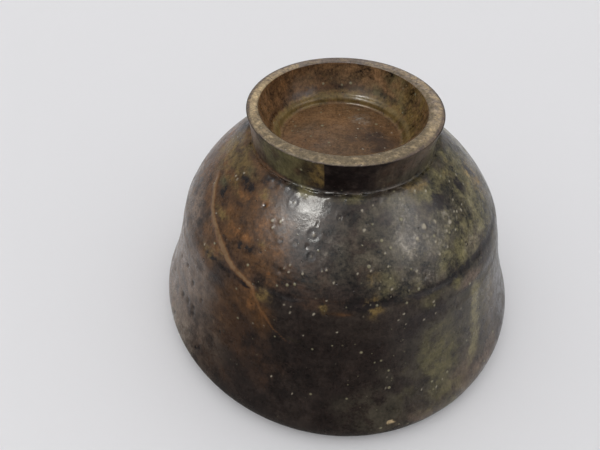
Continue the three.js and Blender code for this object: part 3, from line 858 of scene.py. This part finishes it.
class Finish(Nodes):
    """One procedural material."""

    def __init__(self, name):
        self.material = bpy.data.materials.new(name)
        self.material.use_nodes = True
        super().__init__(self.material.node_tree)
        self.shader = self.tree.nodes["Principled BSDF"]
        self.place = self.node("ShaderNodeTexCoord").outputs["Object"]

    def surface(self, inputs):
        """Joins values to the shader's inputs, and gives the finished material."""
        for key, value in inputs.items():
            self.join(value, self.shader.inputs[key])
        return self.material

    def noise(self, size, detail=4, rough=0.6, stretch=(1, 1, 1)):
        """Noise whose lumps are about a size across, with octaves of detail that fade by a share."""
        place = self.node("ShaderNodeMapping", {"Vector": self.place, "Scale": stretch}).outputs[0]
        sockets = {"Vector": place, "Scale": 1 / size, "Detail": detail, "Roughness": rough}
        return self.node("ShaderNodeTexNoise", sockets).outputs["Fac"]

    def dots(self, spacing, radius, kept):
        """Round dots, one to a cell of a spacing, their radii drawn from 0.4 of a radius up to it.
        Kept is the share of the cells that have one."""
        cells = self.node("ShaderNodeTexVoronoi", {"Vector": self.place, "Scale": 1 / spacing})
        chance = self.node("ShaderNodeSeparateColor", {0: cells.outputs["Color"]})
        size = self.ramp(chance.outputs[1], 0, 1, 0.4 * radius / spacing, radius / spacing)
        inside = self.math("SUBTRACT", size, cells.outputs["Distance"])
        drawn = self.math("LESS_THAN", chance.outputs[0], kept)
        return self.times(self.ramp(inside, 0, 0.5 * radius / spacing), drawn)

    def ramp(self, value, low, high, to_low=0.0, to_high=1.0):
        """A value carried from one range to another along a smooth S, and held at its ends."""
        sockets = {0: value, 1: low, 2: high, 3: to_low, 4: to_high}
        return self.node("ShaderNodeMapRange", sockets, interpolation_type="SMOOTHSTEP").outputs[0]

    def field(self, name):
        """A field of the mesh, which is 0 where the mesh has none of that name."""
        return self.node("ShaderNodeAttribute", attribute_name=name).outputs["Fac"]

    def wash(self, name, size, edge):
        """A stain's cover: its field times noise of a size, so that it's ragged where it thins out."""
        worn = self.ramp(self.noise(size, 7, 0.62), 0.3, 0.7, 1 - edge / 2, 1 + edge / 2)
        return self.ramp(self.times(self.field(name), worn), 0.08, 1.0)

    def mix(self, share, a, b, blend="MIX"):
        """Two colours mixed by a share of the second, or blended in another way."""
        made = self.node("ShaderNodeMix", data_type="RGBA", blend_type=blend)
        self.join(share, made.inputs[0])
        for value, socket in ((a, made.inputs[6]), (b, made.inputs[7])):
            self.join(value if isinstance(value, bpy.types.NodeSocket) else (*value, 1), socket)
        return made.outputs[2]

    def stained(self, colour, *washes):
        """A colour under stains, each given as its field, the size of its noise in mm, how ragged
        its edge is, and its colour."""
        for name, size, edge, stain in washes:
            colour = self.mix(self.wash(name, size * MM, edge), colour, stain)
        return colour

    def shaded(self, colour, value):
        """A colour times a number."""
        grey = self.node("ShaderNodeCombineColor", {0: value, 1: value, 2: value}).outputs[0]
        return self.mix(1.0, colour, grey, "MULTIPLY")

    def bump(self, value, depth, below=None):
        """The normal of a relief of a depth, laid over the normal of another."""
        made = self.node("ShaderNodeBump", {"Height": value, "Distance": depth, "Strength": 1.0})
        if below is not None:
            self.join(below, made.inputs["Normal"])
        return made.outputs[0]


def glaze_finish(name, c, base, cloud, gloss, specular, coat):
    """Iron glaze: near black, clouded with brown, and stained by what its fields say. Each stain is
    ragged by its own noise. Mauve and ash are partly painted sheen. Frost, which is crystals and painted
    sheen, fine grain and specks lie over all. Soot also paints shadow rings round the bubbles, and cream
    paints glints on their beads. The base dulls in clouds under a thin glassy coat, so a light shows sharp
    in a soft halo."""
    f = Finish(name)
    streaky = (1, 1, 0.16)
    rust = f.mix(f.ramp(f.noise(4 * MM, 8, 0.68), 0.36, 0.66), c.rust_dark, c.rust)
    colour = f.stained(
        f.mix(f.ramp(f.noise(14 * MM, 7, 0.66), 0.4, 0.7), base, cloud),
        ("umber", 7, 1.2, c.umber),
        # ash is partly painted sheen
        ("ash_and_sheen", 5, 1.6, c.ash_and_sheen),
        # mauve is partly painted sheen
        ("mauve", 4, 1.0, c.mauve),
        ("rust", 5, 0.6, rust),
        ("olive", 4, 1.2, c.olive),
        ("gold", 2.2, 1.4, c.gold),
        ("ember", 2, 1.4, c.ember),
    )
    colour = f.mix(f.times(f.wash("straw", 2.5 * MM, 1.0), 0.85), colour, c.straw)
    # Frost crystals, which also carry painted sheen
    crystals = f.plus(f.ramp(f.noise(1.2 * MM, 7, 0.74), 0.46, 0.62, 0, 0.8), 0.2)
    colour = f.mix(f.times(crystals, f.wash("frost_and_sheen", 4 * MM, 1.0)), colour, c.frost_and_sheen)
    # soot includes the painted shadow rings round the bubbles
    colour = f.stained(colour, ("soot", 2, 1.4, c.soot))
    uneven = 0.0
    for size, detail, rough, darker, lighter in (
        (3.4, 5, 0.62, -0.5, 0.56), (0.9, 5, 0.78, -0.62, 0.7), (7, 3, 0.6, -0.4, 0.4),
    ):
        uneven = f.plus(uneven, f.ramp(f.noise(size * MM, detail, rough), 0.3, 0.7, darker, lighter))
    colour = f.shaded(colour, f.plus(f.times(uneven, f.field("mottled")), 1.0))
    colour = f.shaded(colour, f.ramp(f.noise(0.7 * MM, 3, 0.6, streaky), 0.3, 0.7, 0.84, 1.18))

    run = f.field("run")
    tan = f.mix(f.ramp(f.noise(2.5 * MM, 5, 0.7), 0.3, 0.52), c.rust, c.tan)
    colour = f.mix(f.ramp(run, 0.1, 0.8, 0, 0.9), colour, f.mix(f.ramp(run, 0.5, 0.9), c.ember, tan))
    colour = f.stained(colour, ("bare", 0.8, 0.8, c.clay))
    kept = f.field("specked")
    fine = f.dots(1.6 * MM, 0.3 * MM, f.times(kept, 0.4))
    coarse = f.dots(2.7 * MM, 0.62 * MM, f.times(kept, 0.7))
    dots = f.math("MAXIMUM", f.times(fine, 0.45), f.times(coarse, 0.85))
    # cream includes the painted glints on the bubbles' beads
    cream = f.times(f.ramp(f.field("cream"), 0.15, 0.9), 0.95)
    pocks = f.dots(2.3 * MM, 0.38 * MM, 0.3)
    colour = f.mix(f.times(pocks, 0.75), colour, c.soot)
    colour = f.mix(dots, colour, c.speck)
    colour = f.mix(cream, colour, c.cream)

    dull = f.ramp(f.noise(5 * MM, 7, 0.68), 0.34, 0.68, gloss, gloss + 0.24)
    dull = f.plus(dull, f.ramp(f.noise(1.1 * MM, 4, 0.7), 0.35, 0.7, -0.05, 0.14))
    for rougher, share in ((run, 0.15), (f.field("dull"), 0.25), (cream, 0.2)):
        dull = f.plus(dull, f.times(rougher, share))
    height = f.node("ShaderNodeSeparateXYZ", {0: f.place}).outputs[2]
    wavy = f.plus(f.times(height, math.tau / (1.1 * MM)), f.times(f.noise(9 * MM), 20))
    turned_lines = f.times(f.math("SINE", wavy), f.field("wheeled"))
    skin = None
    for relief, depth in (
        (f.noise(1.5 * MM, 5, 0.62), 0.06), (f.noise(0.9 * MM, 3, 0.6, streaky), 0.015),
        (turned_lines, 0.006), (pocks, -0.08), (dots, 0.08),
    ):
        skin = f.bump(relief, depth * MM, skin)
    return f.surface({
        "Base Color": colour, "Roughness": dull, "Specular IOR Level": specular, "Coat Weight": coat,
        "Coat Roughness": 0.08, "Normal": skin, "Coat Normal": skin,
    })


def clay_finish(name, c):
    """Bare stoneware: sandy, stained brown, grey and olive by its fields, with dark and pale grains
    of two sizes, and darker where smoke and glaze crept over its edges."""
    f = Finish(name)
    colour = f.stained(
        f.mix(f.ramp(f.noise(3 * MM, 8, 0.7), 0.4, 0.64), c.clay, c.clay_brown),
        ("grey", 2.4, 1.2, c.clay_grey),
        ("olive", 2, 1.2, c.clay_olive),
        ("stain", 1.6, 0.9, c.clay_dark),
    )
    colour = f.shaded(colour, f.ramp(f.noise(0.9 * MM, 5, 0.75), 0.3, 0.7, 0.55, 1.45))
    colour = f.shaded(colour, f.ramp(f.noise(3.2 * MM, 5, 0.7), 0.34, 0.66, 0.78, 1.22))
    worn = f.field("grained")
    dark = f.math("MAXIMUM", f.dots(1.1 * MM, 0.42 * MM, worn), f.dots(2.2 * MM, 0.7 * MM, worn))
    colour = f.mix(f.times(dark, 0.75), colour, c.clay_dark)
    colour = f.mix(f.times(f.dots(1.5 * MM, 0.34 * MM, 0.4), 0.7), colour, c.cream)
    return f.surface({
        "Base Color": colour, "Roughness": f.ramp(f.noise(2 * MM), 0.4, 0.6, 0.42, 0.65),
        "Specular IOR Level": 0.3, "Normal": f.bump(f.noise(0.9 * MM, 6, 0.7), 0.2 * MM),
    })


# Sizes, depths and colours that a user would change

def length(name, description, value):
    """A length property, its default given in mm."""
    return bpy.props.FloatProperty(
        name=name, description=description, default=value * MM, unit="LENGTH", precision=5
    )


def offset(name, description, value):
    """A sideways shift property, its default given in mm."""
    return bpy.props.FloatVectorProperty(
        name=name, description=description, default=[v * MM for v in value], size=2, unit="LENGTH"
    )


def angle(name, description, value):
    """An angle property, its default given in radians."""
    return bpy.props.FloatProperty(name=name, description=description, default=value, subtype="ANGLE")


def colour(name, description, value):
    """A colour property, its default given as linear red, green and blue."""
    return bpy.props.FloatVectorProperty(
        name=name, description=description, default=value, subtype="COLOR", size=3, min=0, max=1
    )


class BowlSizes(bpy.types.PropertyGroup):
    """The sizes that shape the clay and its coats."""

    lip_radius: length("Lip radius", "Where the outside wall turns under", 59.2)
    lip_round: length("Lip round", "Height of the lip's turn", 1.3)
    lip_thickness: length("Lip thickness", "Wall at the lip", 3.9)
    lip_land: length("Lip land", "Flat that wear leaves on the crest", 1.2)
    belly_swell: length("Belly swell", "How far the belly stands out past the lip", 2.7)
    belly_height: length("Belly height", "Height of the widest circle", 6)
    waist_radius: length("Waist radius", "Radius where the trimming starts", 51.2)
    waist_height: length("Waist height", "Height where the trimming starts", 39.7)
    wall_hollow: length("Wall hollow", "How far the wall bows in", 1.4)
    wall_thickness: length("Wall thickness", "Wall at the waist", 5.2)
    trim_depth: length("Trim depth", "Depth of the trimming step", 0.7)
    trim_width: length("Trim width", "Width of the trimming step", 4.2)
    shoulder_rise: length("Shoulder rise", "Tangent that leaves the trimming line", 10.7)
    shoulder_lean: angle("Shoulder lean", "Its angle from the vertical", 0.34)
    shoulder_run: length("Shoulder run", "Tangent that arrives at the foot", 8.9)
    shoulder_slope: angle("Shoulder slope", "Its angle above the horizontal", 0.66)
    root_flat: length("Root flat", "Flat cut round the foot ring", 1.6)
    root_dip: length("Root dip", "How far the flat dips towards the ring", 0.3)
    root_fillet: length("Root fillet", "Height of the round between flat and ring", 0.9)
    foot_height: length("Foot height", "Height of the foot ring", 10.65)
    foot_radius: length("Foot radius", "Foot ring at its resting face", 27.75)
    foot_flare: length("Foot flare", "How much wider the ring is there than at its root", 1.15)
    foot_pinch: length("Foot pinch", "How far the ring's outside is pinched in", 0.5)
    foot_face_width: length("Foot face", "Width of the resting face", 4)
    foot_edge: length("Foot edge", "Chamfer of the resting face's edges", 0.35)
    ledge_radius: length("Ledge radius", "Ledge inside the foot's well", 19.85)
    ledge_depth: length("Ledge depth", "Ledge below the resting face", 9.4)
    ledge_width: length("Ledge width", "Width of the ledge", 1.5)
    disc_drop: length("Disc drop", "From the ledge to the sunk disc", 2.2)
    disc_dome: length("Disc dome", "How far the disc's middle stands up", 0.5)
    well_bow: length("Well bow", "How far the well's wall bows outwards", 0.7)
    floor_thickness: length("Floor thickness", "From the disc to the tea pool's edge", 7.2)
    pool_radius: length("Pool radius", "The tea pool in the floor", 15)
    pool_depth: length("Pool depth", "Depth of the tea pool", 1.1)
    hip_pull: length("Hip pull", "Tangent that leaves the inside wall", 14)
    floor_pull: length("Floor pull", "Tangent that arrives at the pool", 21)
    glaze_thickness: length("Glaze thickness", "Thickness of each coat", 0.8)
    glaze_edge: length("Glaze edge", "Thickness where a coat ends", 0.15)
    glaze_taper: length("Glaze taper", "Length over which a coat thins", 4)
    glaze_round: length("Glaze round", "Width over which glaze rounds a corner outside", 0.35)
    glaze_round_well: length("Glaze round in the well", "Width over which it rounds one there", 0.2)
    seat_gap: length("Seat gap", "Between a coat and the clay, and between coats", 0.06)
    joint_gap: length("Joint gap", "Between the foot ring and the base", 0.1)
    mouth_lobe: length("Mouth lobe", "How far the mouth is three-cornered", 0.86)
    mouth_lobe_turn: angle("Mouth lobe turn", "Direction of its first corner, times three", 2.09)
    oval: length("Oval", "How far the bowl is oval", 0.33)
    oval_turn: angle("Oval turn", "Direction of its long axis, times two", -0.73)
    foot_lean: offset("Foot lean", "Shift of the foot at its resting face", (-0.5, -0.34))
    well_offset: offset("Well offset", "Shift of the well inside the ring", (-0.65, 0.67))


class BowlRelief(bpy.types.PropertyGroup):
    """How deep the marks in the glaze and the clay are."""

    lump: length("Lump", "Slow unevenness of the glaze", 0.09)
    ripple: length("Ripple", "Unevenness that bends what the glaze mirrors", 0.045)
    root_lump: length("Root lump", "Unevenness of the glaze in the foot's root", 0.3)
    peel: length("Peel", "Fine unevenness of the glaze", 0.015)
    wheel_line: length("Wheel line", "Lines that the trimming tool left", 0.007)
    throwing_line: length("Throwing line", "Lines that the fingers left inside", 0.16)
    blister: length("Blister", "Roughness where the glaze is rusty", 0.05)
    run: length("Run", "Height of the run of pale glaze", 0.2)
    grit: length("Grit", "Height of the grains in the glaze", 0.2)
    bubble: length("Bubble", "Height of the rings of burst bubbles", 0.08)
    pit: length("Pit", "Depth of the pits", 0.4)
    groove: length("Groove", "Depth of the line where the trimming ends", 0.16)
    step: length("Step", "Drop from the thrown wall to the trimmed shoulder", 0.12)
    chip: length("Chip", "Depth of the chip on the belly", 0.35)
    wear: length("Wear", "Unevenness of the foot's resting face", 0.16)


class BowlColours(bpy.types.PropertyGroup):
    """The colours of glaze, stains and clay, linear."""

    black: colour("Black", "Glaze where it is thick", (0.0180, 0.0120, 0.0100))
    charcoal: colour("Charcoal", "Clouds in the black", (0.0250, 0.0180, 0.0145))
    umber: colour("Umber", "Glaze where it is thinner", (0.034, 0.0175, 0.0100))
    # Mauve is bloom, and on the outer walls also painted sheen
    mauve: colour("Mauve", "Bloom on the shaded wall", (0.120, 0.084, 0.060))
    # Ash is bloom, and also painted sheen on the front, the right shoulder and the foot ring
    ash_and_sheen: colour("Ash", "Bloom on the front and the right", (0.048, 0.040, 0.028))
    olive: colour("Olive", "Stain on the right side", (0.086, 0.074, 0.034))
    gold: colour("Gold", "Yellow stain by the foot", (0.134, 0.088, 0.030))
    straw: colour("Straw", "Pale run on the right", (0.160, 0.136, 0.070))
    speck: colour("Speck", "Fine specks in the glaze", (0.215, 0.195, 0.120))
    rust: colour("Rust", "Stain round the run", (0.104, 0.050, 0.019))
    rust_dark: colour("Dark rust", "The darker half of that stain", (0.057, 0.028, 0.0125))
    ember: colour("Ember", "Its hot spots", (0.150, 0.066, 0.022))
    # Frost is crystals, and also painted sheen on the outside and a painted reflection in the well
    frost_and_sheen: colour("Frost", "Fine crystals on the right shoulder", (0.175, 0.155, 0.128))
    # Soot also paints the shadow ring round each bubble
    soot: colour("Soot", "Blots and the trimming line", (0.0065, 0.0036, 0.0032))
    tan: colour("Tan", "The raised run", (0.205, 0.126, 0.064))
    # Cream also paints the glint on each bubble's bead
    cream: colour("Cream", "Grains and specks", (0.330, 0.290, 0.220))
    well: colour("Well", "Glaze in the foot's well", (0.172, 0.094, 0.044))
    well_dark: colour("Dark well", "Clouds in that glaze", (0.080, 0.049, 0.026))
    clay: colour("Clay", "Bare clay", (0.44, 0.33, 0.19))
    clay_brown: colour("Stained clay", "Bare clay where it is stained", (0.22, 0.155, 0.088))
    clay_grey: colour("Grey clay", "Bare clay where smoke greyed it", (0.19, 0.150, 0.120))
    clay_olive: colour("Olive clay", "Bare clay at the front", (0.155, 0.115, 0.064))
    clay_dark: colour("Dark clay", "Grains and edges of the clay", (0.070, 0.046, 0.038))


# Camera and stage

FRAME_WIDTH = 600  # of the photograph, in pixels
FRAME_HEIGHT = 450
WINDOW_TOWARDS = (-129, 59.5)  # direction and elevation in degrees
WINDOW_FAR = 1.5  # from the bowl's middle, in metres
WINDOW_SIZE = (0.44, 0.5)
# Hazes in the room: direction and elevation in degrees, sharpness, and strength against the glow
HAZES = ((-118, 40, 26, 0.8), (-24, 36, 14, 1.5), (-150, 47, 32, 2.6), (100, 52, 12, 0.1))
SHADED_SIDE = -108  # the side of the table that the glaze mirrors dark, in degrees from +X


def facing(turn, rise):
    """The unit vector in a direction and an elevation given in degrees."""
    turn, rise = math.radians(turn), math.radians(rise)
    return Vector((math.cos(turn) * math.cos(rise), math.sin(turn) * math.cos(rise), math.sin(rise)))


class BOWL_OT_camera(bpy.types.Operator):
    """Places the camera where the photograph was taken from"""

    bl_idname = "bowl.camera"
    bl_label = "Camera"

    elevation: angle("Elevation", "Of the camera above the table", math.radians(42.97))
    roll: angle("Roll", "Of the camera about its view", math.radians(-3.76))
    distance: length("Distance", "From the point aimed at", 187.41)
    aim_height: length("Aim height", "Height of that point on the axis", 39.23)
    aim_x: bpy.props.FloatProperty(name="Aim across", description="Where it shows, of 600", default=339.75)
    aim_y: bpy.props.FloatProperty(name="Aim down", description="Where it shows, of 450", default=209.16)
    focal: bpy.props.FloatProperty(name="Focal length", description="In pixels of 600", default=559.53)

    def execute(self, context):
        back = Vector((0, -math.cos(self.elevation), math.sin(self.elevation)))
        right = Vector((1, 0, 0))
        up = right.cross(-back)
        across = (self.aim_x - FRAME_WIDTH / 2) / self.focal
        down = (self.aim_y - FRAME_HEIGHT / 2) / self.focal
        ray = Vector((across, -down, 1)).normalized()
        level = Matrix((right, up, -back))
        turn = Vector((0, 0, 1)).rotation_difference(ray).to_matrix()
        axes = turn @ Matrix.Rotation(self.roll, 3, "Z") @ level
        camera = bpy.data.cameras.new("camera")
        camera.sensor_width = 36
        camera.lens = self.focal / FRAME_WIDTH * camera.sensor_width
        camera.clip_start = 0.01
        holder = bpy.data.objects.new("camera", camera)
        context.scene.collection.objects.link(holder)
        place = Matrix((axes[0], axes[1], -axes[2])).transposed().to_4x4()
        place.translation = Vector((0, 0, self.aim_height)) + back * self.distance
        holder.matrix_world = place
        context.scene.camera = holder
        return {"FINISHED"}


class BOWL_OT_stage(bpy.types.Operator):
    """Lays the pale table, lights the room and hangs the window"""

    bl_idname = "bowl.stage"
    bl_label = "Stage"

    reach: length("Reach", "Half width of the table", 3000)
    table: colour("Table", "Colour of the table", (0.76, 0.76, 0.79))
    shade: colour("Shade", "The table as the glaze mirrors it on its shaded side", (0.07, 0.07, 0.07))
    horizon: bpy.props.FloatProperty(name="Horizon", description="Light from the room's walls", default=0.5)
    zenith: bpy.props.FloatProperty(name="Zenith", description="Light from the ceiling", default=1.12)
    window: bpy.props.FloatProperty(name="Window", description="Its power in watts", default=36)
    glow: bpy.props.FloatProperty(name="Glow", description="Light of the hazes round the window", default=4.4)
    window_colour: colour("Window colour", "Colour of its light", (1.0, 0.985, 0.93))
    room_colour: colour("Room colour", "Colour of the room's light", (1.0, 0.995, 0.985))

    def execute(self, context):
        mesh = bpy.data.meshes.new("table")
        r = self.reach
        mesh.from_pydata([(-r, -r, 0), (r, -r, 0), (r, r, 0), (-r, r, 0)], [], [(0, 1, 2, 3)])
        table = bpy.data.objects.new("table", mesh)
        context.scene.collection.objects.link(table)
        f = Finish("pale_table")
        mesh.materials.append(f.surface({"Base Color": self.seen_in_glaze(f), "Roughness": 0.7}))
        self.room(context)
        self.hang_window(context)
        context.scene.view_settings.view_transform = "Standard"
        return {"FINISHED"}

    def seen_in_glaze(self, f):
        """The table's colour. What is glossy sees it dark on its shaded side: the share of the shade
        rises with the cosine of the angle from that side's direction."""
        place = f.node("ShaderNodeVectorMath", {0: f.place}, operation="NORMALIZE").outputs[0]
        share = f.ramp(f.cosine(place, facing(SHADED_SIDE, 0)), 0.5, 0.85)
        return f.mix(f.times(share, f.seen_by_gloss()), tuple(self.table), tuple(self.shade))

    def room(self, context):
        """A world that brightens from the horizon to the zenith, with the sine of the elevation. What
        is glossy also sees hazes in it, each the cosine of the angle from its middle to a power, and
        all of them cloudy."""
        world = bpy.data.worlds.new("soft_room")
        world.use_nodes = True
        room = Nodes(world.node_tree)
        direction = room.node("ShaderNodeTexCoord").outputs["Generated"]
        height = room.node("ShaderNodeSeparateXYZ", {0: direction}).outputs[2]
        light = room.node("ShaderNodeMapRange", {0: height, 3: self.horizon, 4: self.zenith}).outputs[0]
        lumps = room.node("ShaderNodeTexNoise", {"Vector": direction, "Scale": 5.0, "Detail": 4.0})
        thin, thick = 0.35, 1.65
        sockets = {0: lumps.outputs["Fac"], 1: 0.36, 2: 0.64, 3: thin, 4: thick}
        cloudy = room.node("ShaderNodeMapRange", sockets).outputs[0]
        cloudy = room.times(cloudy, room.seen_by_gloss())
        for turn, rise, power, strength in HAZES:
            near = room.math("MAXIMUM", room.cosine(direction, facing(turn, rise)), 0.0)
            near = room.times(room.math("POWER", near, power), strength * self.glow)
            light = room.plus(light, room.times(near, cloudy))
        background = room.tree.nodes["Background"].inputs
        room.join((*self.room_colour, 1), background["Color"])
        room.join(light, background["Strength"])
        context.scene.world = world

    def hang_window(self, context):
        """An area lamp in a direction and elevation from the bowl's middle, turned to face it. Only
        what is glossy sees it."""
        aim, way = Vector((0, 0, HEIGHT / 2)), facing(*WINDOW_TOWARDS)
        light = bpy.data.lights.new("window", "AREA")
        light.shape = "RECTANGLE"
        light.size, light.size_y = WINDOW_SIZE
        light.energy = self.window
        light.color = self.window_colour
        holder = bpy.data.objects.new("window", light)
        holder.location = aim + way * WINDOW_FAR
        holder.rotation_euler = (-way).to_track_quat("-Z", "Y").to_euler()
        holder.visible_diffuse = False
        context.scene.collection.objects.link(holder)


class BOWL_OT_clay(bpy.types.Operator):
    """Turns the clay wall and the foot ring"""

    bl_idname = "bowl.clay"
    bl_label = "Clay"

    def execute(self, context):
        s, r, c = context.scene.bowl_sizes, context.scene.bowl_relief, context.scene.bowl_colours
        material = clay_finish("bare_clay", c)
        self.wall(s, material)
        self.ring(s, r, material)
        return {"FINISHED"}

    def seat(self, s):
        """Height of the joint between the ring and the base."""
        return HEIGHT - s.ledge_depth - s.glaze_thickness

    def wall(self, s, material):
        """The clay under the coats: its inside, the lip's crest, its outside, the seat, the disc."""
        coarse = 1.5 * MM
        curves = inside_curve(s), outer_curve(s)[0], well_curve(s)
        inside, outside, well = (spaced(curve, coarse) for curve in curves)
        inside = inwards(inside, coat_depth(inside, s, False, True))
        outside = inwards(outside, coat_depth(outside, s, True, True))
        well = inwards(well, coat_depth(well, s, True, False))
        crest = s.lip_radius - s.lip_round
        lip = np.array([(crest - s.lip_land, 0), (crest, 0)])
        disc = well[well[:, 1] < self.seat(s)]
        under = outside[outside[:, 1] < self.seat(s) - 2 * s.joint_gap]
        seat = np.array([(under[-1, 0], self.seat(s)), (disc[0, 0] + 4 * s.joint_gap, self.seat(s))])
        profile = np.concatenate([inside, lip, under, seat, disc])
        rings, _ = turned(profile, s, columns=256)
        settle(piece_from_rings("wall_clay", rings, False), "clay_wall", material)

    def ring(self, s, r, material):
        """The foot ring: its outside, the bare resting face with worn edges, and the well's side."""
        coarse, fine, worn_round = 0.8 * MM, 0.25 * MM, 0.45 * MM
        foot, well = spaced(outer_curve(s)[0], coarse), spaced(well_curve(s), coarse)
        foot = inwards(foot, coat_depth(foot, s, True, True))
        well = inwards(well, coat_depth(well, s, True, False))
        joint = self.seat(s) + s.joint_gap
        outer = foot[foot[:, 1] > joint + 2 * s.joint_gap]
        inner = well[well[:, 1] > joint + 2 * s.joint_gap]
        edge = s.glaze_edge + s.foot_edge
        face = np.array([(s.foot_radius - edge, HEIGHT), (s.foot_radius - s.foot_face_width + edge, HEIGHT)])
        bridge = np.concatenate([outer[-1:], face, inner[:1]])
        bridge = spaced(softened(bridge, worn_round), fine)
        under = spaced(np.array([(inner[-1, 0], joint), (outer[0, 0], joint)]), 1 * MM)
        profile = np.concatenate([outer[:-1], bridge, inner[1:], under[:-1]])
        rings, outward = turned(profile, s, columns=560)
        top = soft_step(rings[..., 2], HEIGHT - 0.9 * MM, HEIGHT - 0.1 * MM)
        wear = np.abs(clouds(rings, 6 * MM, 21)) + 0.5 * np.abs(clouds(rings, 1.2 * MM, 22))
        rings = rings - outward * (top * wear * r.wear)[..., None]
        piece = piece_from_rings("foot_clay", rings, True, self.stains(rings, s))
        settle(piece, "foot_ring", material)

    def stains(self, points, s):
        """Stains on the resting face: smoke at the back, olive at the front, dark along its edges."""
        x, y = ((points[..., axis] - s.foot_lean[axis]) / MM for axis in (0, 1))
        radius, turn = np.hypot(x, y), np.degrees(np.arctan2(y, x))
        turn = turn + 14 * clouds(points, 6 * MM, 23)
        middle = (s.foot_radius - s.foot_face_width * 0.45) / MM
        side = (radius - middle + 0.5 * clouds(points, 5 * MM, 24)) / (s.foot_face_width / MM / 2)
        outer, inner = soft_step(side, 0.25, 0.75), soft_step(-side, 0.3, 0.85)
        bright = sides(turn, (178, 34, 1), (5, 40, 0.8))
        return {
            "grey": np.clip(sides(turn, (95, 45, 1.3), (5, 45, 0.5)), 0, 1),
            "olive": np.clip(1.4 * towards(turn, -90, 58) + 0.6 * inner, 0, 1),
            "stain": np.clip(0.75 * outer + 0.3 * inner + 0.5 * towards(turn, 95, 40), 0, 1),
            "grained": np.clip(0.25 + 0.35 * towards(turn, -15, 60) - 0.2 * bright, 0.05, 1),
        }


class BOWL_OT_glaze(bpy.types.Operator):
    """Lays the four coats of glaze"""

    bl_idname = "bowl.glaze"
    bl_label = "Glaze"

    def execute(self, context):
        s, r, c = context.scene.bowl_sizes, context.scene.bowl_relief, context.scene.bowl_colours
        black = glaze_finish("black_glaze", c, c.black, c.charcoal, gloss=0.17, specular=0.1, coat=0.14)
        brown = glaze_finish("brown_glaze", c, c.well, c.well_dark, gloss=0.24, specular=0.08, coat=0.1)
        self.outer(s, r, black)
        self.inside(s, r, black)
        self.well(s, r, brown)
        return {"FINISHED"}

    def outer(self, s, r, material):
        """One coat from lip to resting face, parted in the foot's root into two pieces."""
        curve, parting = outer_curve(s)
        sharp = lengths_of(curve)[-1]
        curve = softened(curve, s.glaze_round)
        total = lengths_of(curve)[-1]
        parting *= total / sharp
        relief = outer_relief(s, r)
        fine, plain_rows, fine_rows = s.waist_height * 0.9, 48, 90
        plain = np.linspace(0, fine, plain_rows, endpoint=False)
        rows = np.concatenate([plain, np.linspace(fine, parting, fine_rows)])
        coat = coat_rings(
            curve, (0, parting), s, relief, rows / parting, columns=620, back_rows=16, open_ends=(True, True)
        )
        settle(coat_piece("outside_coat", *coat, "ring"), "outside_glaze", material)
        rows, above = np.linspace(0, 1, 36), parting + s.seat_gap
        coat = coat_rings(
            curve, (above, total), s, relief, rows, columns=560, back_rows=6, open_ends=(True, True)
        )
        settle(coat_piece("foot_coat", *coat, "ring"), "foot_ring_glaze", material)

    def inside(self, s, r, material):
        """The coat of the drinking side, a cap from the middle of the floor to the lip."""
        curve, rows = inside_curve(s), np.linspace(0, 1, 110)
        span = 0, lengths_of(curve)[-1]
        coat = coat_rings(
            curve, span, s, inside_relief(s, r), rows, columns=360, back_rows=16, open_ends=(False, True)
        )
        settle(coat_piece("inside_coat", *coat, "cap"), "inside_glaze", material)

    def well(self, s, r, material):
        """The coat of the well, from its mouth over the ledge to the middle of the disc."""
        curve, rows = softened(well_curve(s), s.glaze_round_well), np.linspace(0, 1, 90)
        curve[-1, 0] = 0
        span = 0, lengths_of(curve)[-1]
        coat = coat_rings(
            curve, span, s, well_relief(s, r), rows, columns=400, back_rows=14, open_ends=(True, False)
        )
        settle(coat_piece("well_coat", *coat, "bowl"), "foot_well_glaze", material)


class BOWL_PT_panel(bpy.types.Panel):
    bl_label = "Tea Bowl"
    bl_space_type = "VIEW_3D"
    bl_region_type = "UI"
    bl_category = "Tea Bowl"

    def draw(self, context):
        for operator in STEPS:
            self.layout.operator(operator.bl_idname)


STEPS = (BOWL_OT_camera, BOWL_OT_stage, BOWL_OT_clay, BOWL_OT_glaze)
GROUPS = {"bowl_sizes": BowlSizes, "bowl_relief": BowlRelief, "bowl_colours": BowlColours}
CLASSES = (*GROUPS.values(), *STEPS, BOWL_PT_panel)


def register():
    for cls in CLASSES:
        bpy.utils.register_class(cls)
    for name, group in GROUPS.items():
        setattr(bpy.types.Scene, name, bpy.props.PointerProperty(type=group))


def unregister():
    for name in GROUPS:
        delattr(bpy.types.Scene, name)
    for cls in reversed(CLASSES):
        bpy.utils.unregister_class(cls)


def main():
    register()
    bpy.ops.bowl.camera()
    bpy.ops.bowl.stage()
    bpy.ops.bowl.clay()
    bpy.ops.bowl.glaze()


if __name__ == "__main__":
    main()
